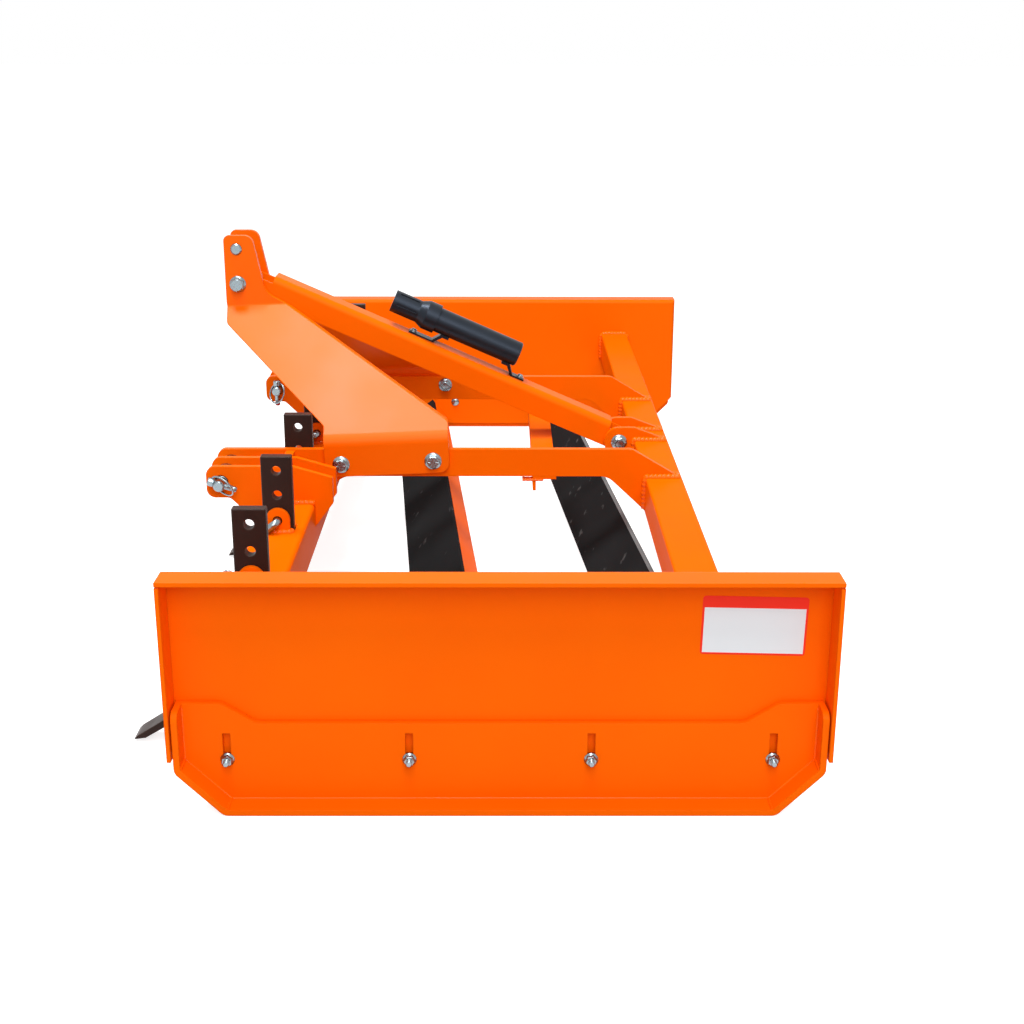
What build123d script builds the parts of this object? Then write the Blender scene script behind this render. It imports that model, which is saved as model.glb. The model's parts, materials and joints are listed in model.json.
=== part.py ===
"""Three-point-hitch grading scraper: a welded frame on two skid shoes, with two skewed cutting blades,
a row of ripper shanks, a bent-plate A-frame with its brace, and a document canister.

Millimetres. +X is the way of travel, +Y the machine's left, +Z up, and Z = 0 is the ground under the shoes.
Lengthwise places are measured from the middle of the side panels, and every piece is then shifted together
so that the origin lies at the bottom centre of the machine.
"""

import os
from math import atan2, cos, hypot, radians, sin, tan

from build123d import *

os.makedirs("parts", exist_ok=True)

# Side panels: folded pans with their flanges turned outwards
panel_span = 1829.0
panel_length = 810.0
panel_top = 307.0
panel_bottom = 9.0
panel_plate = 5.0
panel_flange = 41.0
panel_bend_radius = 8.0
end_flange_bottom = 74.0
corner_slit = 2.0

# Skid shoes: heavier pans bolted outside the panels through upright slots
shoe_plate = 8.0
shoe_depth = 38.0
shoe_end_gap = 2.0
shoe_slide_gap = 0.4
shoe_web_height = 111.0
shoe_horn_height = 137.5
shoe_horn_length = 56.0
shoe_horn_slope = 42.0
shoe_horn_radius = 20.0
shoe_chamfer = 58.0
shoe_bend_radius = 14.0
shoe_lip_radius = 12.0
shoe_travel = 25.0
shoe_slot_play = 5.5
shoe_bolt_z = 62.0
shoe_slot_width = 9.5
shoe_bolt_inset = 67.5
shoe_bolt_count = 4

# Cross tubes
front_tube_size = 75.0
front_tube_wall = 6.0
front_tube_x = 327.5
front_tube_bottom = 141.0
rear_tube_size = 60.0
rear_tube_wall = 5.0
rear_tube_x = -263.5
rear_tube_bottom = 168.0
front_tube_radius = 8.0
rear_tube_radius = 4.0

# Ripper shanks: flat bars in slots through the front tube, with a chisel point
shank_count = 7
shank_pitch = 245.0
shank_width = 45.0
shank_thickness = 16.0
shank_gap = 0.7
shank_top = 329.0
shank_bore = 14.0
shank_bore_spacing = 37.0
shank_bore_count = 3
foot_angle = 32.5
foot_heel_angle = 31.0
foot_front_radius = 28.0
foot_back_radius = 60.0
point_reach = 169.5
point_height = 4.0
point_bevel_run = 5.0
point_bevel_rise = 5.0
point_heel_run = 16.0
point_heel_rise = 2.0
point_width = 36.0
point_length = 84.0
shank_edge_radius = 2.0

# Ears beside each shank, for its locking pin
ear_width = 36.0
ear_thickness = 8.0
ear_bore_height = 18.0

# Draft bars and hitch plates
bar_plate = 12.0
bar_top = 275.0
bar_depth = 45.0
bar_tail_start = 22.5
bar_tail_drop = 56.0
bar_tail_run = 61.5
bar_heel_drop = 38.0
bar_heel_run = 28.0
bar_fillet = 32.0
bar_tail_fillet = 22.0
hitch_pin_x = 434.0
hitch_pin_bore = 22.4
hitch_lug_half_height = 25.0
hitch_lug_reach = 23.0
hitch_lug_corner = 14.0
hitch_plate = 10.0
hitch_clevis_gap = 40.0
hitch_throat_drop = 46.0
hitch_throat_slope = 0.976
hitch_throat_fillet = 10.0
hitch_back_x = 261.5
hitch_back_drop = 18.0
hitch_back_height = 41.0
hitch_slope_start = 323.0
spacer_thickness = 14.0
spacer_x = 339.0
spacer_drop = 2.0

# A-frame: two bent plates from the draft bars up to the top link
mast_plate = 10.0
mast_gap = 60.0
mast_top = 585.0
mast_front_x = 470.0
mast_head_width = 47.5
mast_neck_width = 67.5
mast_neck_drop = 97.5
mast_lean = 2.4
mast_head_bend_z = 472.0
mast_foot_bend_z = 291.5
mast_foot_bottom = 235.0
mast_foot_front_x = 283.5
mast_foot_back_x = 83.5
mast_knee_z = 314.0
mast_chin_back = 4.0
mast_chin_fall = 30.5
mast_chin_radius = 11.0
mast_corner_radius = 6.0
mast_front_radius = 9.0
mast_back_radius = 16.0
mast_neck_radius = 32.0
mast_foot_radius = 18.0
mast_bend_radius = 14.0
mast_bolt_inset = 26.0
mast_bolt_z = 255.5
mast_bolt_bore = 13.0
top_link_x = 449.0
top_link_drop = 23.0
top_link_bore = 19.4
brace_bolt_drop = 82.0
brace_bolt_bore = 17.0

# Brace: a folded channel from the A-frame down to two lugs on the rear tube
brace_side_gap = 0.5
brace_wall_depth = 32.5
brace_wall_rise = -3.75
brace_front_rise = 11.0
brace_back_rise = 1.2
brace_toe_length = 105.0
brace_toe_radius = 17.0
brace_plate = 5.0
brace_bend_radius = 12.0
brace_web_front_cut = 57.0
brace_web_back_cut = 24.0
lug_x = -207.0
lug_z = 225.0
lug_plate = 10.0
lug_radius = 26.0
lug_tail_reach = 57.0
lug_tail_height = 1.5

# Cross angle under the draft bars
angle_x = -51.0
angle_leg = 38.0
angle_drop = 24.0
angle_plate = 5.0

# Cutting blades, skewed across the machine, with an angle iron behind each
blade_skew = 4.9
blade_rake = 37.8
blade_width = 105.0
blade_thickness = 10.0
blade_edge_z = 3.0
blade_angle_leg = 45.0
blade_angle_plate = 5.0

# Document canister on the brace
canister_radius = 21.6
canister_wall = 2.5
canister_length = 155.0
canister_start = 221.0
canister_lift = 38.8
canister_end_chamfer = 2.0
cap_length = 83.0
cap_skirt_radius = 25.5
cap_skirt_length = 22.0
cap_taper_length = 13.0
cap_grip_radius = 19.5
cap_plug_length = 18.0
cap_plug_gap = 0.4
cap_groove_count = 6
cap_groove_width = 4.0
cap_groove_depth = 2.0
cap_groove_length = 36.0
cap_end_length = 8.0
strap_width = 22.0
strap_thickness = 3.0
strap_ledge = 14.0
strap_saddle = 2.0

# Places worked out from the sizes above
panel_outer_y = panel_span / 2
panel_inner_y = panel_outer_y - panel_plate
tube_length = 2 * panel_inner_y
front_tube_top = front_tube_bottom + front_tube_size
front_tube_back = front_tube_x - front_tube_size / 2
front_tube_face = front_tube_x + front_tube_size / 2
rear_tube_top = rear_tube_bottom + rear_tube_size
rear_tube_face = rear_tube_x + rear_tube_size / 2
rear_tube_back = rear_tube_x - rear_tube_size / 2
pin_z = front_tube_top + ear_bore_height
bar_inner_y = shank_pitch + shank_thickness / 2 + shank_gap
bar_outer_y = bar_inner_y + bar_plate
bar_bottom = bar_top - bar_depth
hitch_pin_z = bar_top - hitch_lug_half_height
middle_plate_y = bar_outer_y + hitch_clevis_gap
outer_plate_y = middle_plate_y + hitch_plate + hitch_clevis_gap
top_link_z = mast_top - top_link_drop
brace_bolt_z = mast_top - brace_bolt_drop
brace_width = mast_gap - 2 * brace_side_gap
brace_front_z = brace_bolt_z + brace_front_rise
brace_back_z = lug_z + brace_back_rise
brace_tilt = atan2(brace_front_z - brace_back_z, top_link_x - lug_x)
brace_length = hypot(brace_front_z - brace_back_z, top_link_x - lug_x)
mast_middle_x = (mast_foot_front_x + mast_foot_back_x) / 2
tip_x = front_tube_x + point_reach
centre_x = (tip_x - panel_length / 2) / 2


def lengthwise(y):
    """Upright plane along the machine at the side place y: sketch x is lengthwise, sketch y is height.

    Extrusions from it run to the machine's right.
    """
    return Plane(origin=(-centre_x, y, 0), x_dir=(1, 0, 0), z_dir=(0, -1, 0))


def along_brace(y):
    """Upright plane whose sketch x runs along the brace, from above its rear bolt to above its front bolt."""
    return Plane(
        origin=(lug_x - centre_x, y, brace_back_z),
        x_dir=(cos(brace_tilt), 0, sin(brace_tilt)),
        z_dir=(0, -1, 0),
    )


def across_blade(cutting_x):
    """Plane square to a blade, with its sketch origin on the ground below the cutting edge's middle."""
    skew = radians(blade_skew)
    return Plane(
        origin=(cutting_x - centre_x, 0, 0),
        x_dir=(cos(skew), sin(skew), 0),
        z_dir=(sin(skew), -cos(skew), 0),
    )


def finish(piece, label):
    """Names a finished piece and writes its file."""
    piece.part.label = label
    export_step(piece.part, f"parts/{label}.step")


def finish_pair(left_piece, name):
    """Writes a left-hand piece and its mirror image for the right side."""
    with BuildPart() as right_piece:
        mirror(left_piece.part, about=Plane.XZ)
    finish(left_piece, f"{name}_left")
    finish(right_piece, f"{name}_right")


# Side panels
half_panel = panel_length / 2
bolt_spacing = (panel_length - 2 * shoe_bolt_inset) / (shoe_bolt_count - 1)
bolt_places = [bolt_spacing * (i - (shoe_bolt_count - 1) / 2) for i in range(shoe_bolt_count)]
web_corner = end_flange_bottom - panel_bottom
with BuildPart() as side_panel_left:
    with BuildSketch(lengthwise(panel_outer_y + panel_flange)):
        with BuildLine():
            Polyline(
                (half_panel, panel_top),
                (half_panel, end_flange_bottom),
                (half_panel - web_corner, panel_bottom),
                (web_corner - half_panel, panel_bottom),
                (-half_panel, end_flange_bottom),
                (-half_panel, panel_top),
                close=True,
            )
        make_face()
    extrude(amount=panel_flange + panel_plate)
    inner_face = side_panel_left.faces().sort_by(Axis.Y)[0]
    fillet(inner_face.edges().filter_by(lambda edge: edge.center().Z > end_flange_bottom), radius=panel_bend_radius)
    with BuildSketch(lengthwise(panel_outer_y + panel_flange)):
        with Locations((0, (panel_top - panel_plate) / 2)):
            Rectangle(panel_length - 2 * panel_plate, panel_top - panel_plate)
        with Locations((0, end_flange_bottom / 2)):
            Rectangle(panel_length, end_flange_bottom)
    extrude(amount=panel_flange, mode=Mode.SUBTRACT)
    with BuildSketch(lengthwise(panel_outer_y + panel_flange)):
        with Locations((0, panel_top - panel_plate - corner_slit / 2)):
            Rectangle(panel_length, corner_slit)
    extrude(amount=panel_flange - panel_plate, mode=Mode.SUBTRACT)
    with BuildSketch(lengthwise(panel_outer_y)):
        with Locations(*[(x, shoe_bolt_z) for x in bolt_places]):
            Rectangle(shoe_slot_width, shoe_slot_width)
    extrude(amount=panel_plate, mode=Mode.SUBTRACT)
finish_pair(side_panel_left, "side_panel")

# Skid shoes
half_shoe = half_panel - panel_plate - shoe_end_gap
shoe_inner_y = panel_outer_y + shoe_slide_gap
shoe_outer_y = shoe_inner_y + shoe_depth
horn_start = half_shoe - shoe_horn_length
slope_end = horn_start - shoe_horn_slope
pocket_half = half_shoe - shoe_plate
pocket_chamfer = shoe_chamfer - shoe_plate * tan(radians(22.5))
slot_length = shoe_travel + shoe_slot_play + shoe_slot_width
slot_bottom = shoe_bolt_z - shoe_slot_width / 2
with BuildPart() as skid_shoe_left:
    with BuildSketch(lengthwise(shoe_outer_y)) as shoe_outline:
        with BuildLine():
            Polyline(
                (half_shoe, shoe_horn_height),
                (horn_start, shoe_horn_height),
                (slope_end, shoe_web_height),
                (-slope_end, shoe_web_height),
                (-horn_start, shoe_horn_height),
                (-half_shoe, shoe_horn_height),
                (-half_shoe, shoe_chamfer),
                (shoe_chamfer - half_shoe, 0),
                (half_shoe - shoe_chamfer, 0),
                (half_shoe, shoe_chamfer),
                close=True,
            )
        make_face()
        fillet([v for v in shoe_outline.vertices() if v.Y < shoe_chamfer + 1], radius=shoe_bend_radius)
        slope_corners = [v for v in shoe_outline.vertices() if v.Y > shoe_web_height - 1 and abs(v.X) < half_shoe - 1]
        fillet(slope_corners, radius=shoe_horn_radius)
    extrude(amount=shoe_depth)
    with BuildSketch(lengthwise(shoe_outer_y)) as pocket_outline:
        with BuildLine():
            Polyline(
                (pocket_half, panel_top),
                (-pocket_half, panel_top),
                (-pocket_half, shoe_plate + pocket_chamfer),
                (pocket_chamfer - pocket_half, shoe_plate),
                (pocket_half - pocket_chamfer, shoe_plate),
                (pocket_half, shoe_plate + pocket_chamfer),
                close=True,
            )
        make_face()
        pocket_corners = [v for v in pocket_outline.vertices() if v.Y < shoe_horn_height]
        fillet(pocket_corners, radius=shoe_bend_radius - shoe_plate)
    extrude(amount=shoe_depth - shoe_plate, mode=Mode.SUBTRACT)
    lip_edges = skid_shoe_left.edges().filter_by(Axis.X).filter_by(
        lambda edge: edge.center().Y > shoe_outer_y - 1 and edge.center().Z > shoe_horn_height - 1
    )
    fillet(lip_edges, radius=shoe_lip_radius)
    with BuildSketch(lengthwise(shoe_inner_y + shoe_plate)):
        with Locations(*[(x, slot_bottom) for x in bolt_places]):
            Rectangle(shoe_slot_width, slot_length, align=(Align.CENTER, Align.MIN))
    extrude(amount=shoe_plate, mode=Mode.SUBTRACT)
finish_pair(skid_shoe_left, "skid_shoe")

# Cross tubes, the front one slotted for the shanks
shank_places = [shank_pitch * ((shank_count - 1) / 2 - i) for i in range(shank_count)]
with BuildPart() as front_tube:
    with BuildSketch(lengthwise(tube_length / 2)):
        with Locations((front_tube_x, front_tube_bottom + front_tube_size / 2)):
            RectangleRounded(front_tube_size, front_tube_size, front_tube_radius)
            bore_size = front_tube_size - 2 * front_tube_wall
            Rectangle(bore_size, bore_size, mode=Mode.SUBTRACT)
    extrude(amount=tube_length)
    with BuildSketch(Plane.XY.offset(front_tube_bottom)):
        with Locations(*[(front_tube_x - centre_x, y) for y in shank_places]):
            Rectangle(shank_width + 2 * shank_gap, shank_thickness + 2 * shank_gap)
    extrude(amount=front_tube_size, mode=Mode.SUBTRACT)
finish(front_tube, "front_tube")

with BuildPart() as rear_tube:
    with BuildSketch(lengthwise(tube_length / 2)):
        with Locations((rear_tube_x, rear_tube_bottom + rear_tube_size / 2)):
            RectangleRounded(rear_tube_size, rear_tube_size, rear_tube_radius)
            bore_size = rear_tube_size - 2 * rear_tube_wall
            Rectangle(bore_size, bore_size, mode=Mode.SUBTRACT)
    extrude(amount=tube_length)
finish(rear_tube, "rear_tube")

# Ripper shanks: the bar bends forwards below the tube and thins towards a wide chisel point
shank_front = front_tube_x + shank_width / 2
shank_back = front_tube_x - shank_width / 2
fall = tan(radians(foot_angle))
heel_fall = tan(radians(foot_heel_angle))
bevel_x = tip_x - point_bevel_run
bevel_z = point_height + point_bevel_rise
heel_x = tip_x - point_heel_run
heel_z = point_height + point_heel_rise
foot_front_z = bevel_z + (bevel_x - shank_front) * fall
foot_back_z = heel_z + (heel_x - shank_back) * heel_fall
point_start = tip_x - point_length
bore_heights = [pin_z + i * shank_bore_spacing for i in range(shank_bore_count)]
for number, place in enumerate(shank_places, start=1):
    with BuildPart() as shank:
        with BuildSketch(lengthwise(place + shank_thickness / 2)):
            with BuildLine():
                FilletPolyline(
                    (shank_front, shank_top),
                    (shank_front, foot_front_z),
                    (bevel_x, bevel_z),
                    radius=foot_front_radius,
                )
                Polyline((bevel_x, bevel_z), (tip_x, point_height), (heel_x, heel_z))
                FilletPolyline(
                    (heel_x, heel_z),
                    (shank_back, foot_back_z),
                    (shank_back, shank_top),
                    radius=foot_back_radius,
                )
                Line((shank_back, shank_top), (shank_front, shank_top))
            make_face()
            with Locations(*[(front_tube_x, z) for z in bore_heights]):
                Circle(shank_bore / 2, mode=Mode.SUBTRACT)
        extrude(amount=shank_thickness)
        fillet(shank.edges().filter_by(Axis.Z), radius=shank_edge_radius)
        chamfer(shank.faces().sort_by(Axis.Z)[-1].edges(), length=shank_edge_radius / 2)
        with BuildSketch(lengthwise(place + point_width / 2)):
            with BuildLine():
                Polyline(
                    (point_start, bevel_z + (bevel_x - point_start) * fall),
                    (bevel_x, bevel_z),
                    (tip_x, point_height),
                    (heel_x, heel_z),
                    (point_start, heel_z + (heel_x - point_start) * heel_fall),
                    close=True,
                )
            make_face()
        extrude(amount=point_width)
    finish(shank, f"shank_{number}")

# Ears on the front tube: a draft bar takes the place of the outer ear beside it
with BuildPart() as shank_ears:
    for place in shank_places:
        for side in (1, -1):
            ear_face_y = place + side * (shank_thickness / 2 + shank_gap)
            bar_is_ear = abs(abs(ear_face_y) - bar_inner_y) < shank_gap
            if bar_is_ear:
                continue
            with BuildSketch(lengthwise(max(ear_face_y, ear_face_y + side * ear_thickness))):
                with Locations((front_tube_x, front_tube_top + ear_bore_height / 2)):
                    Rectangle(ear_width, ear_bore_height)
                with Locations((front_tube_x, pin_z)):
                    Circle(ear_width / 2)
                    Circle(shank_bore / 2, mode=Mode.SUBTRACT)
            extrude(amount=ear_thickness)
finish(shank_ears, "shank_ears")

# Draft bars and hitch plates share the nose that wraps over the front tube and carries the hitch pin
throat_x = front_tube_face
throat_z = front_tube_top - hitch_throat_drop
nose = [
    (front_tube_back, front_tube_top - bar_heel_drop),
    (front_tube_back, front_tube_top),
    (front_tube_face, front_tube_top),
    (throat_x, throat_z),
    (hitch_pin_x, throat_z + hitch_throat_slope * (hitch_pin_x - throat_x)),
    (hitch_pin_x, bar_top),
]


def add_lug(outline):
    """Rounds off the nose of the given sketch with the pin's lug, and bores it."""
    lug_length = hitch_pin_x + hitch_lug_reach - throat_x
    with Locations((throat_x + lug_length / 2, hitch_pin_z)):
        RectangleRounded(lug_length, 2 * hitch_lug_half_height, hitch_lug_corner)
    inner_corner = [v for v in outline.vertices() if throat_x + 1 < v.X < hitch_pin_x - 1 and v.Y < hitch_pin_z]
    fillet(inner_corner, radius=hitch_throat_fillet)
    with Locations((hitch_pin_x, hitch_pin_z)):
        Circle(hitch_pin_bore / 2, mode=Mode.SUBTRACT)


def on_leaning_foot(x, z):
    """Place of a point of the A-frame's foot, which leans forwards about the middle of its bolts."""
    lean = radians(mast_lean)
    run, rise = x - mast_middle_x, z - mast_bolt_z
    return (mast_middle_x + run * cos(lean) + rise * sin(lean), mast_bolt_z + rise * cos(lean) - run * sin(lean))


mast_bolt_places = [
    on_leaning_foot(mast_foot_front_x - mast_bolt_inset, mast_bolt_z),
    on_leaning_foot(mast_foot_back_x + mast_bolt_inset, mast_bolt_z),
]
with BuildPart() as draft_bar_left:
    with BuildSketch(lengthwise(bar_outer_y)) as bar_outline:
        with BuildLine():
            Polyline(
                *nose,
                (rear_tube_face + bar_tail_start, bar_top),
                (rear_tube_back + rear_tube_radius, rear_tube_top),
                (rear_tube_face, rear_tube_top),
                (rear_tube_face, rear_tube_top - bar_tail_drop),
                (rear_tube_face + bar_tail_run, bar_bottom),
                (front_tube_back - bar_heel_run, bar_bottom),
                close=True,
            )
        make_face()
        inner_corners = [v for v in bar_outline.vertices() if abs(v.Y - bar_bottom) < 1 and v.X < front_tube_back]
        fillet(inner_corners, radius=bar_fillet)
        tail_corner = [v for v in bar_outline.vertices() if abs(v.Y - bar_top) < 1 and v.X < 0]
        fillet(tail_corner, radius=bar_tail_fillet)
        add_lug(bar_outline)
        with Locations((front_tube_x, pin_z)):
            Circle(shank_bore / 2, mode=Mode.SUBTRACT)
        with Locations(*mast_bolt_places):
            Circle(mast_bolt_bore / 2, mode=Mode.SUBTRACT)
    extrude(amount=bar_plate)
finish_pair(draft_bar_left, "draft_bar")

for name, inner_y in (("middle", middle_plate_y), ("outer", outer_plate_y)):
    with BuildPart() as plate_left:
        with BuildSketch(lengthwise(inner_y + hitch_plate)) as plate_outline:
            with BuildLine():
                Polyline(
                    *nose,
                    (hitch_slope_start, bar_top),
                    (hitch_back_x, bar_top - hitch_back_drop),
                    (hitch_back_x, bar_top - hitch_back_drop - hitch_back_height),
                    close=True,
                )
            make_face()
            add_lug(plate_outline)
        extrude(amount=hitch_plate)
    finish_pair(plate_left, f"hitch_plate_{name}")

spacer_height = bar_top - spacer_drop - front_tube_top
with BuildPart() as hitch_spacer_left:
    for inner_y in (bar_outer_y, middle_plate_y + hitch_plate):
        with BuildSketch(lengthwise(inner_y + hitch_clevis_gap)):
            with Locations((spacer_x, front_tube_top + spacer_height / 2)):
                Rectangle(spacer_thickness, spacer_height)
        extrude(amount=hitch_clevis_gap)
finish_pair(hitch_spacer_left, "hitch_spacer")

# A-frame plates: a section across the machine gives the bends, a side outline trims it
head_y = mast_gap / 2
lean = radians(mast_lean)
chin_x = mast_front_x - mast_chin_back
chin_z = mast_head_bend_z - mast_chin_fall
with BuildPart() as a_frame_left:
    with BuildSketch(
        Plane(origin=(mast_middle_x - centre_x, 0, 0), x_dir=(0, 1, 0), z_dir=(cos(lean), 0, -sin(lean)))
    ):
        with BuildLine():
            FilletPolyline(
                (head_y, 2 * mast_top),
                (head_y, mast_head_bend_z),
                (bar_outer_y, mast_foot_bend_z),
                (bar_outer_y, 0),
                radius=mast_bend_radius,
            )
            offset(amount=mast_plate, side=Side.LEFT)
        make_face()
    extrude(amount=mast_front_x - mast_foot_back_x, both=True)
    with BuildSketch(lengthwise(panel_outer_y)) as mast_outline:
        with BuildLine():
            Polyline(
                (mast_front_x, mast_top),
                (mast_front_x - mast_head_width, mast_top),
                (mast_front_x - mast_neck_width, mast_top - mast_neck_drop),
                on_leaning_foot(mast_foot_back_x, mast_knee_z),
                on_leaning_foot(mast_foot_back_x, mast_foot_bottom),
                on_leaning_foot(mast_foot_front_x, mast_foot_bottom),
                on_leaning_foot(mast_foot_front_x, mast_knee_z),
                (chin_x, chin_z),
                (mast_front_x, mast_head_bend_z),
                close=True,
            )
        make_face()
        fillet([v for v in mast_outline.vertices() if v.Y < mast_bolt_z], radius=mast_foot_radius)
        knee_corners = [v for v in mast_outline.vertices() if mast_foot_bend_z < v.Y < chin_z - 1]
        fillet(knee_corners, radius=mast_corner_radius)
        chin_corner = [v for v in mast_outline.vertices() if abs(v.X - chin_x) < 1 and abs(v.Y - chin_z) < 1]
        fillet(chin_corner, radius=mast_chin_radius)
        fillet(mast_outline.vertices().group_by(Axis.Y)[-1].sort_by(Axis.X)[-1], radius=mast_front_radius)
        fillet(mast_outline.vertices().group_by(Axis.Y)[-1].sort_by(Axis.X)[0], radius=mast_back_radius)
        neck_z = mast_top - mast_neck_drop
        neck_corner = [v for v in mast_outline.vertices() if abs(v.Y - neck_z) < 1]
        fillet(neck_corner, radius=mast_neck_radius)
        with Locations((top_link_x, top_link_z)):
            Circle(top_link_bore / 2, mode=Mode.SUBTRACT)
        with Locations((top_link_x, brace_bolt_z)):
            Circle(brace_bolt_bore / 2, mode=Mode.SUBTRACT)
        with Locations(*mast_bolt_places):
            Circle(mast_bolt_bore / 2, mode=Mode.SUBTRACT)
    extrude(amount=panel_outer_y, mode=Mode.INTERSECT)
finish_pair(a_frame_left, "a_frame")

# Brace: a channel with its web on top, cut back at both ends so that its sides straddle the bolts
wall_top = brace_wall_rise + brace_wall_depth / 2
web_top = wall_top + brace_bend_radius
channel_width = brace_width - 2 * brace_plate
web_length = brace_length - brace_web_front_cut - brace_web_back_cut
brace_bolt_places = []
for bolt_x, bolt_z in ((lug_x, lug_z), (top_link_x, brace_bolt_z)):
    bolt_place = along_brace(0).to_local_coords(Vector(bolt_x - centre_x, 0, bolt_z))
    brace_bolt_places.append((bolt_place.X, bolt_place.Y))
with BuildPart() as brace:
    with BuildSketch(along_brace(brace_width / 2)):
        with Locations((brace_length / 2, brace_wall_rise)):
            SlotCenterToCenter(brace_length, brace_wall_depth)
    extrude(amount=brace_width)
    with BuildSketch(along_brace(brace_width / 2)):
        with Locations((brace_length - brace_toe_length, brace_wall_rise)):
            Circle(brace_wall_depth / 2)
        with Locations(brace_bolt_places[1]):
            Circle(brace_toe_radius)
        make_hull()
    extrude(amount=brace_width)
    with BuildSketch(along_brace(channel_width / 2)):
        with Locations((brace_length / 2, brace_wall_rise)):
            Rectangle(2 * brace_length, 3 * brace_wall_depth)
    extrude(amount=channel_width, mode=Mode.SUBTRACT)
    side_view = along_brace(0)
    with BuildSketch(
        Plane(
            origin=side_view.from_local_coords(Vector(brace_web_back_cut, wall_top, 0)),
            x_dir=(0, 1, 0),
            z_dir=side_view.x_dir,
        )
    ) as web_section:
        Rectangle(brace_width, brace_bend_radius, align=(Align.CENTER, Align.MIN))
        fillet(web_section.vertices().group_by(Axis.Y)[-1], radius=brace_bend_radius)
        bend_inside = brace_bend_radius - brace_plate
        Rectangle(channel_width, bend_inside, align=(Align.CENTER, Align.MIN), mode=Mode.SUBTRACT)
    extrude(amount=web_length)
    with BuildSketch(along_brace(brace_width / 2)):
        with Locations(*brace_bolt_places):
            Circle(brace_bolt_bore / 2)
    extrude(amount=brace_width, mode=Mode.SUBTRACT)
finish(brace, "brace")

# Lugs for the brace, standing on the rear tube
lug_tail_x = rear_tube_face - lug_tail_reach
with BuildPart() as brace_lug_left:
    with BuildSketch(lengthwise(mast_gap / 2 + lug_plate)):
        with BuildLine():
            Polyline(
                (lug_x, lug_z + lug_radius),
                (rear_tube_face, lug_z + lug_radius),
                (lug_tail_x, rear_tube_top + lug_tail_height),
                (lug_tail_x, rear_tube_top),
                (rear_tube_face, rear_tube_top),
                (rear_tube_face, lug_z - lug_radius),
                (lug_x, lug_z - lug_radius),
                close=True,
            )
        make_face()
        with Locations((lug_x, lug_z)):
            Circle(lug_radius)
            Circle(brace_bolt_bore / 2, mode=Mode.SUBTRACT)
    extrude(amount=lug_plate)
finish_pair(brace_lug_left, "brace_lug")

# Cross angle
with BuildPart() as cross_angle:
    with BuildSketch(lengthwise(bar_outer_y)):
        with Locations((angle_x, bar_bottom)):
            Rectangle(angle_leg, angle_plate, align=(Align.MAX, Align.MAX))
            Rectangle(angle_plate, angle_drop, align=(Align.MAX, Align.MAX))
    extrude(amount=2 * bar_outer_y)
finish(cross_angle, "cross_angle")

# Blades: name, lengthwise place of the cutting edge at mid-width, and the angle iron's drop below the top edge
blade_table = [
    ("front_blade", 171.5, 0.0),
    ("rear_blade", -143.7, 20.0),
]
rake = radians(blade_rake)
up_slope = Vector(-cos(rake), sin(rake))
outwards = Vector(sin(rake), cos(rake))
cutting_edge = Vector(0, blade_edge_z)
blade_top = cutting_edge + up_slope * blade_width
blade_back_top = blade_top - outwards * blade_thickness
blade_heel = cutting_edge - Vector(blade_thickness / sin(rake), 0)


def build_strip(points, cutting_x):
    """A straight strip of the given section across the machine, cut off at both panels' inner faces."""
    with BuildPart() as strip:
        with BuildSketch(across_blade(cutting_x)):
            with BuildLine():
                Polyline(*points, close=True)
            make_face()
        extrude(amount=tube_length, both=True)
        with BuildSketch(Plane.XY):
            Rectangle(3 * panel_length, tube_length)
        extrude(amount=panel_top, mode=Mode.INTERSECT)
    return strip


for name, cutting_x, angle_setback in blade_table:
    blade_section = [cutting_edge, blade_top, blade_back_top, blade_heel]
    finish(build_strip(blade_section, cutting_x), name)
    corner = blade_back_top - up_slope * angle_setback
    leg_end = corner - up_slope * blade_angle_leg
    rib_end = corner - outwards * blade_angle_leg
    angle_section = [
        corner,
        leg_end,
        leg_end - outwards * blade_angle_plate,
        corner - (up_slope + outwards) * blade_angle_plate,
        rib_end - up_slope * blade_angle_plate,
        rib_end,
    ]
    finish(build_strip(angle_section, cutting_x), f"{name}_angle")

# Document canister: a closed tube with a grooved screw cap, held above the brace by two straps
axis_height = web_top + canister_lift
canister_end = canister_start + canister_length


def across_canister(reach):
    """Plane square to the canister's axis at the given place along the brace."""
    side_view = along_brace(0)
    return Plane(
        origin=side_view.from_local_coords(Vector(reach, axis_height, 0)),
        x_dir=side_view.z_dir,
        z_dir=side_view.x_dir,
    )


with BuildPart() as canister_tube:
    with BuildSketch(across_canister(canister_start)):
        Circle(canister_radius)
    extrude(amount=canister_length)
    chamfer(canister_tube.edges().sort_by(Axis.X)[0], length=canister_end_chamfer)
    with BuildSketch(across_canister(canister_start + canister_wall)):
        Circle(canister_radius - canister_wall)
    extrude(amount=canister_length - canister_wall, mode=Mode.SUBTRACT)
finish(canister_tube, "canister_tube")

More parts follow.
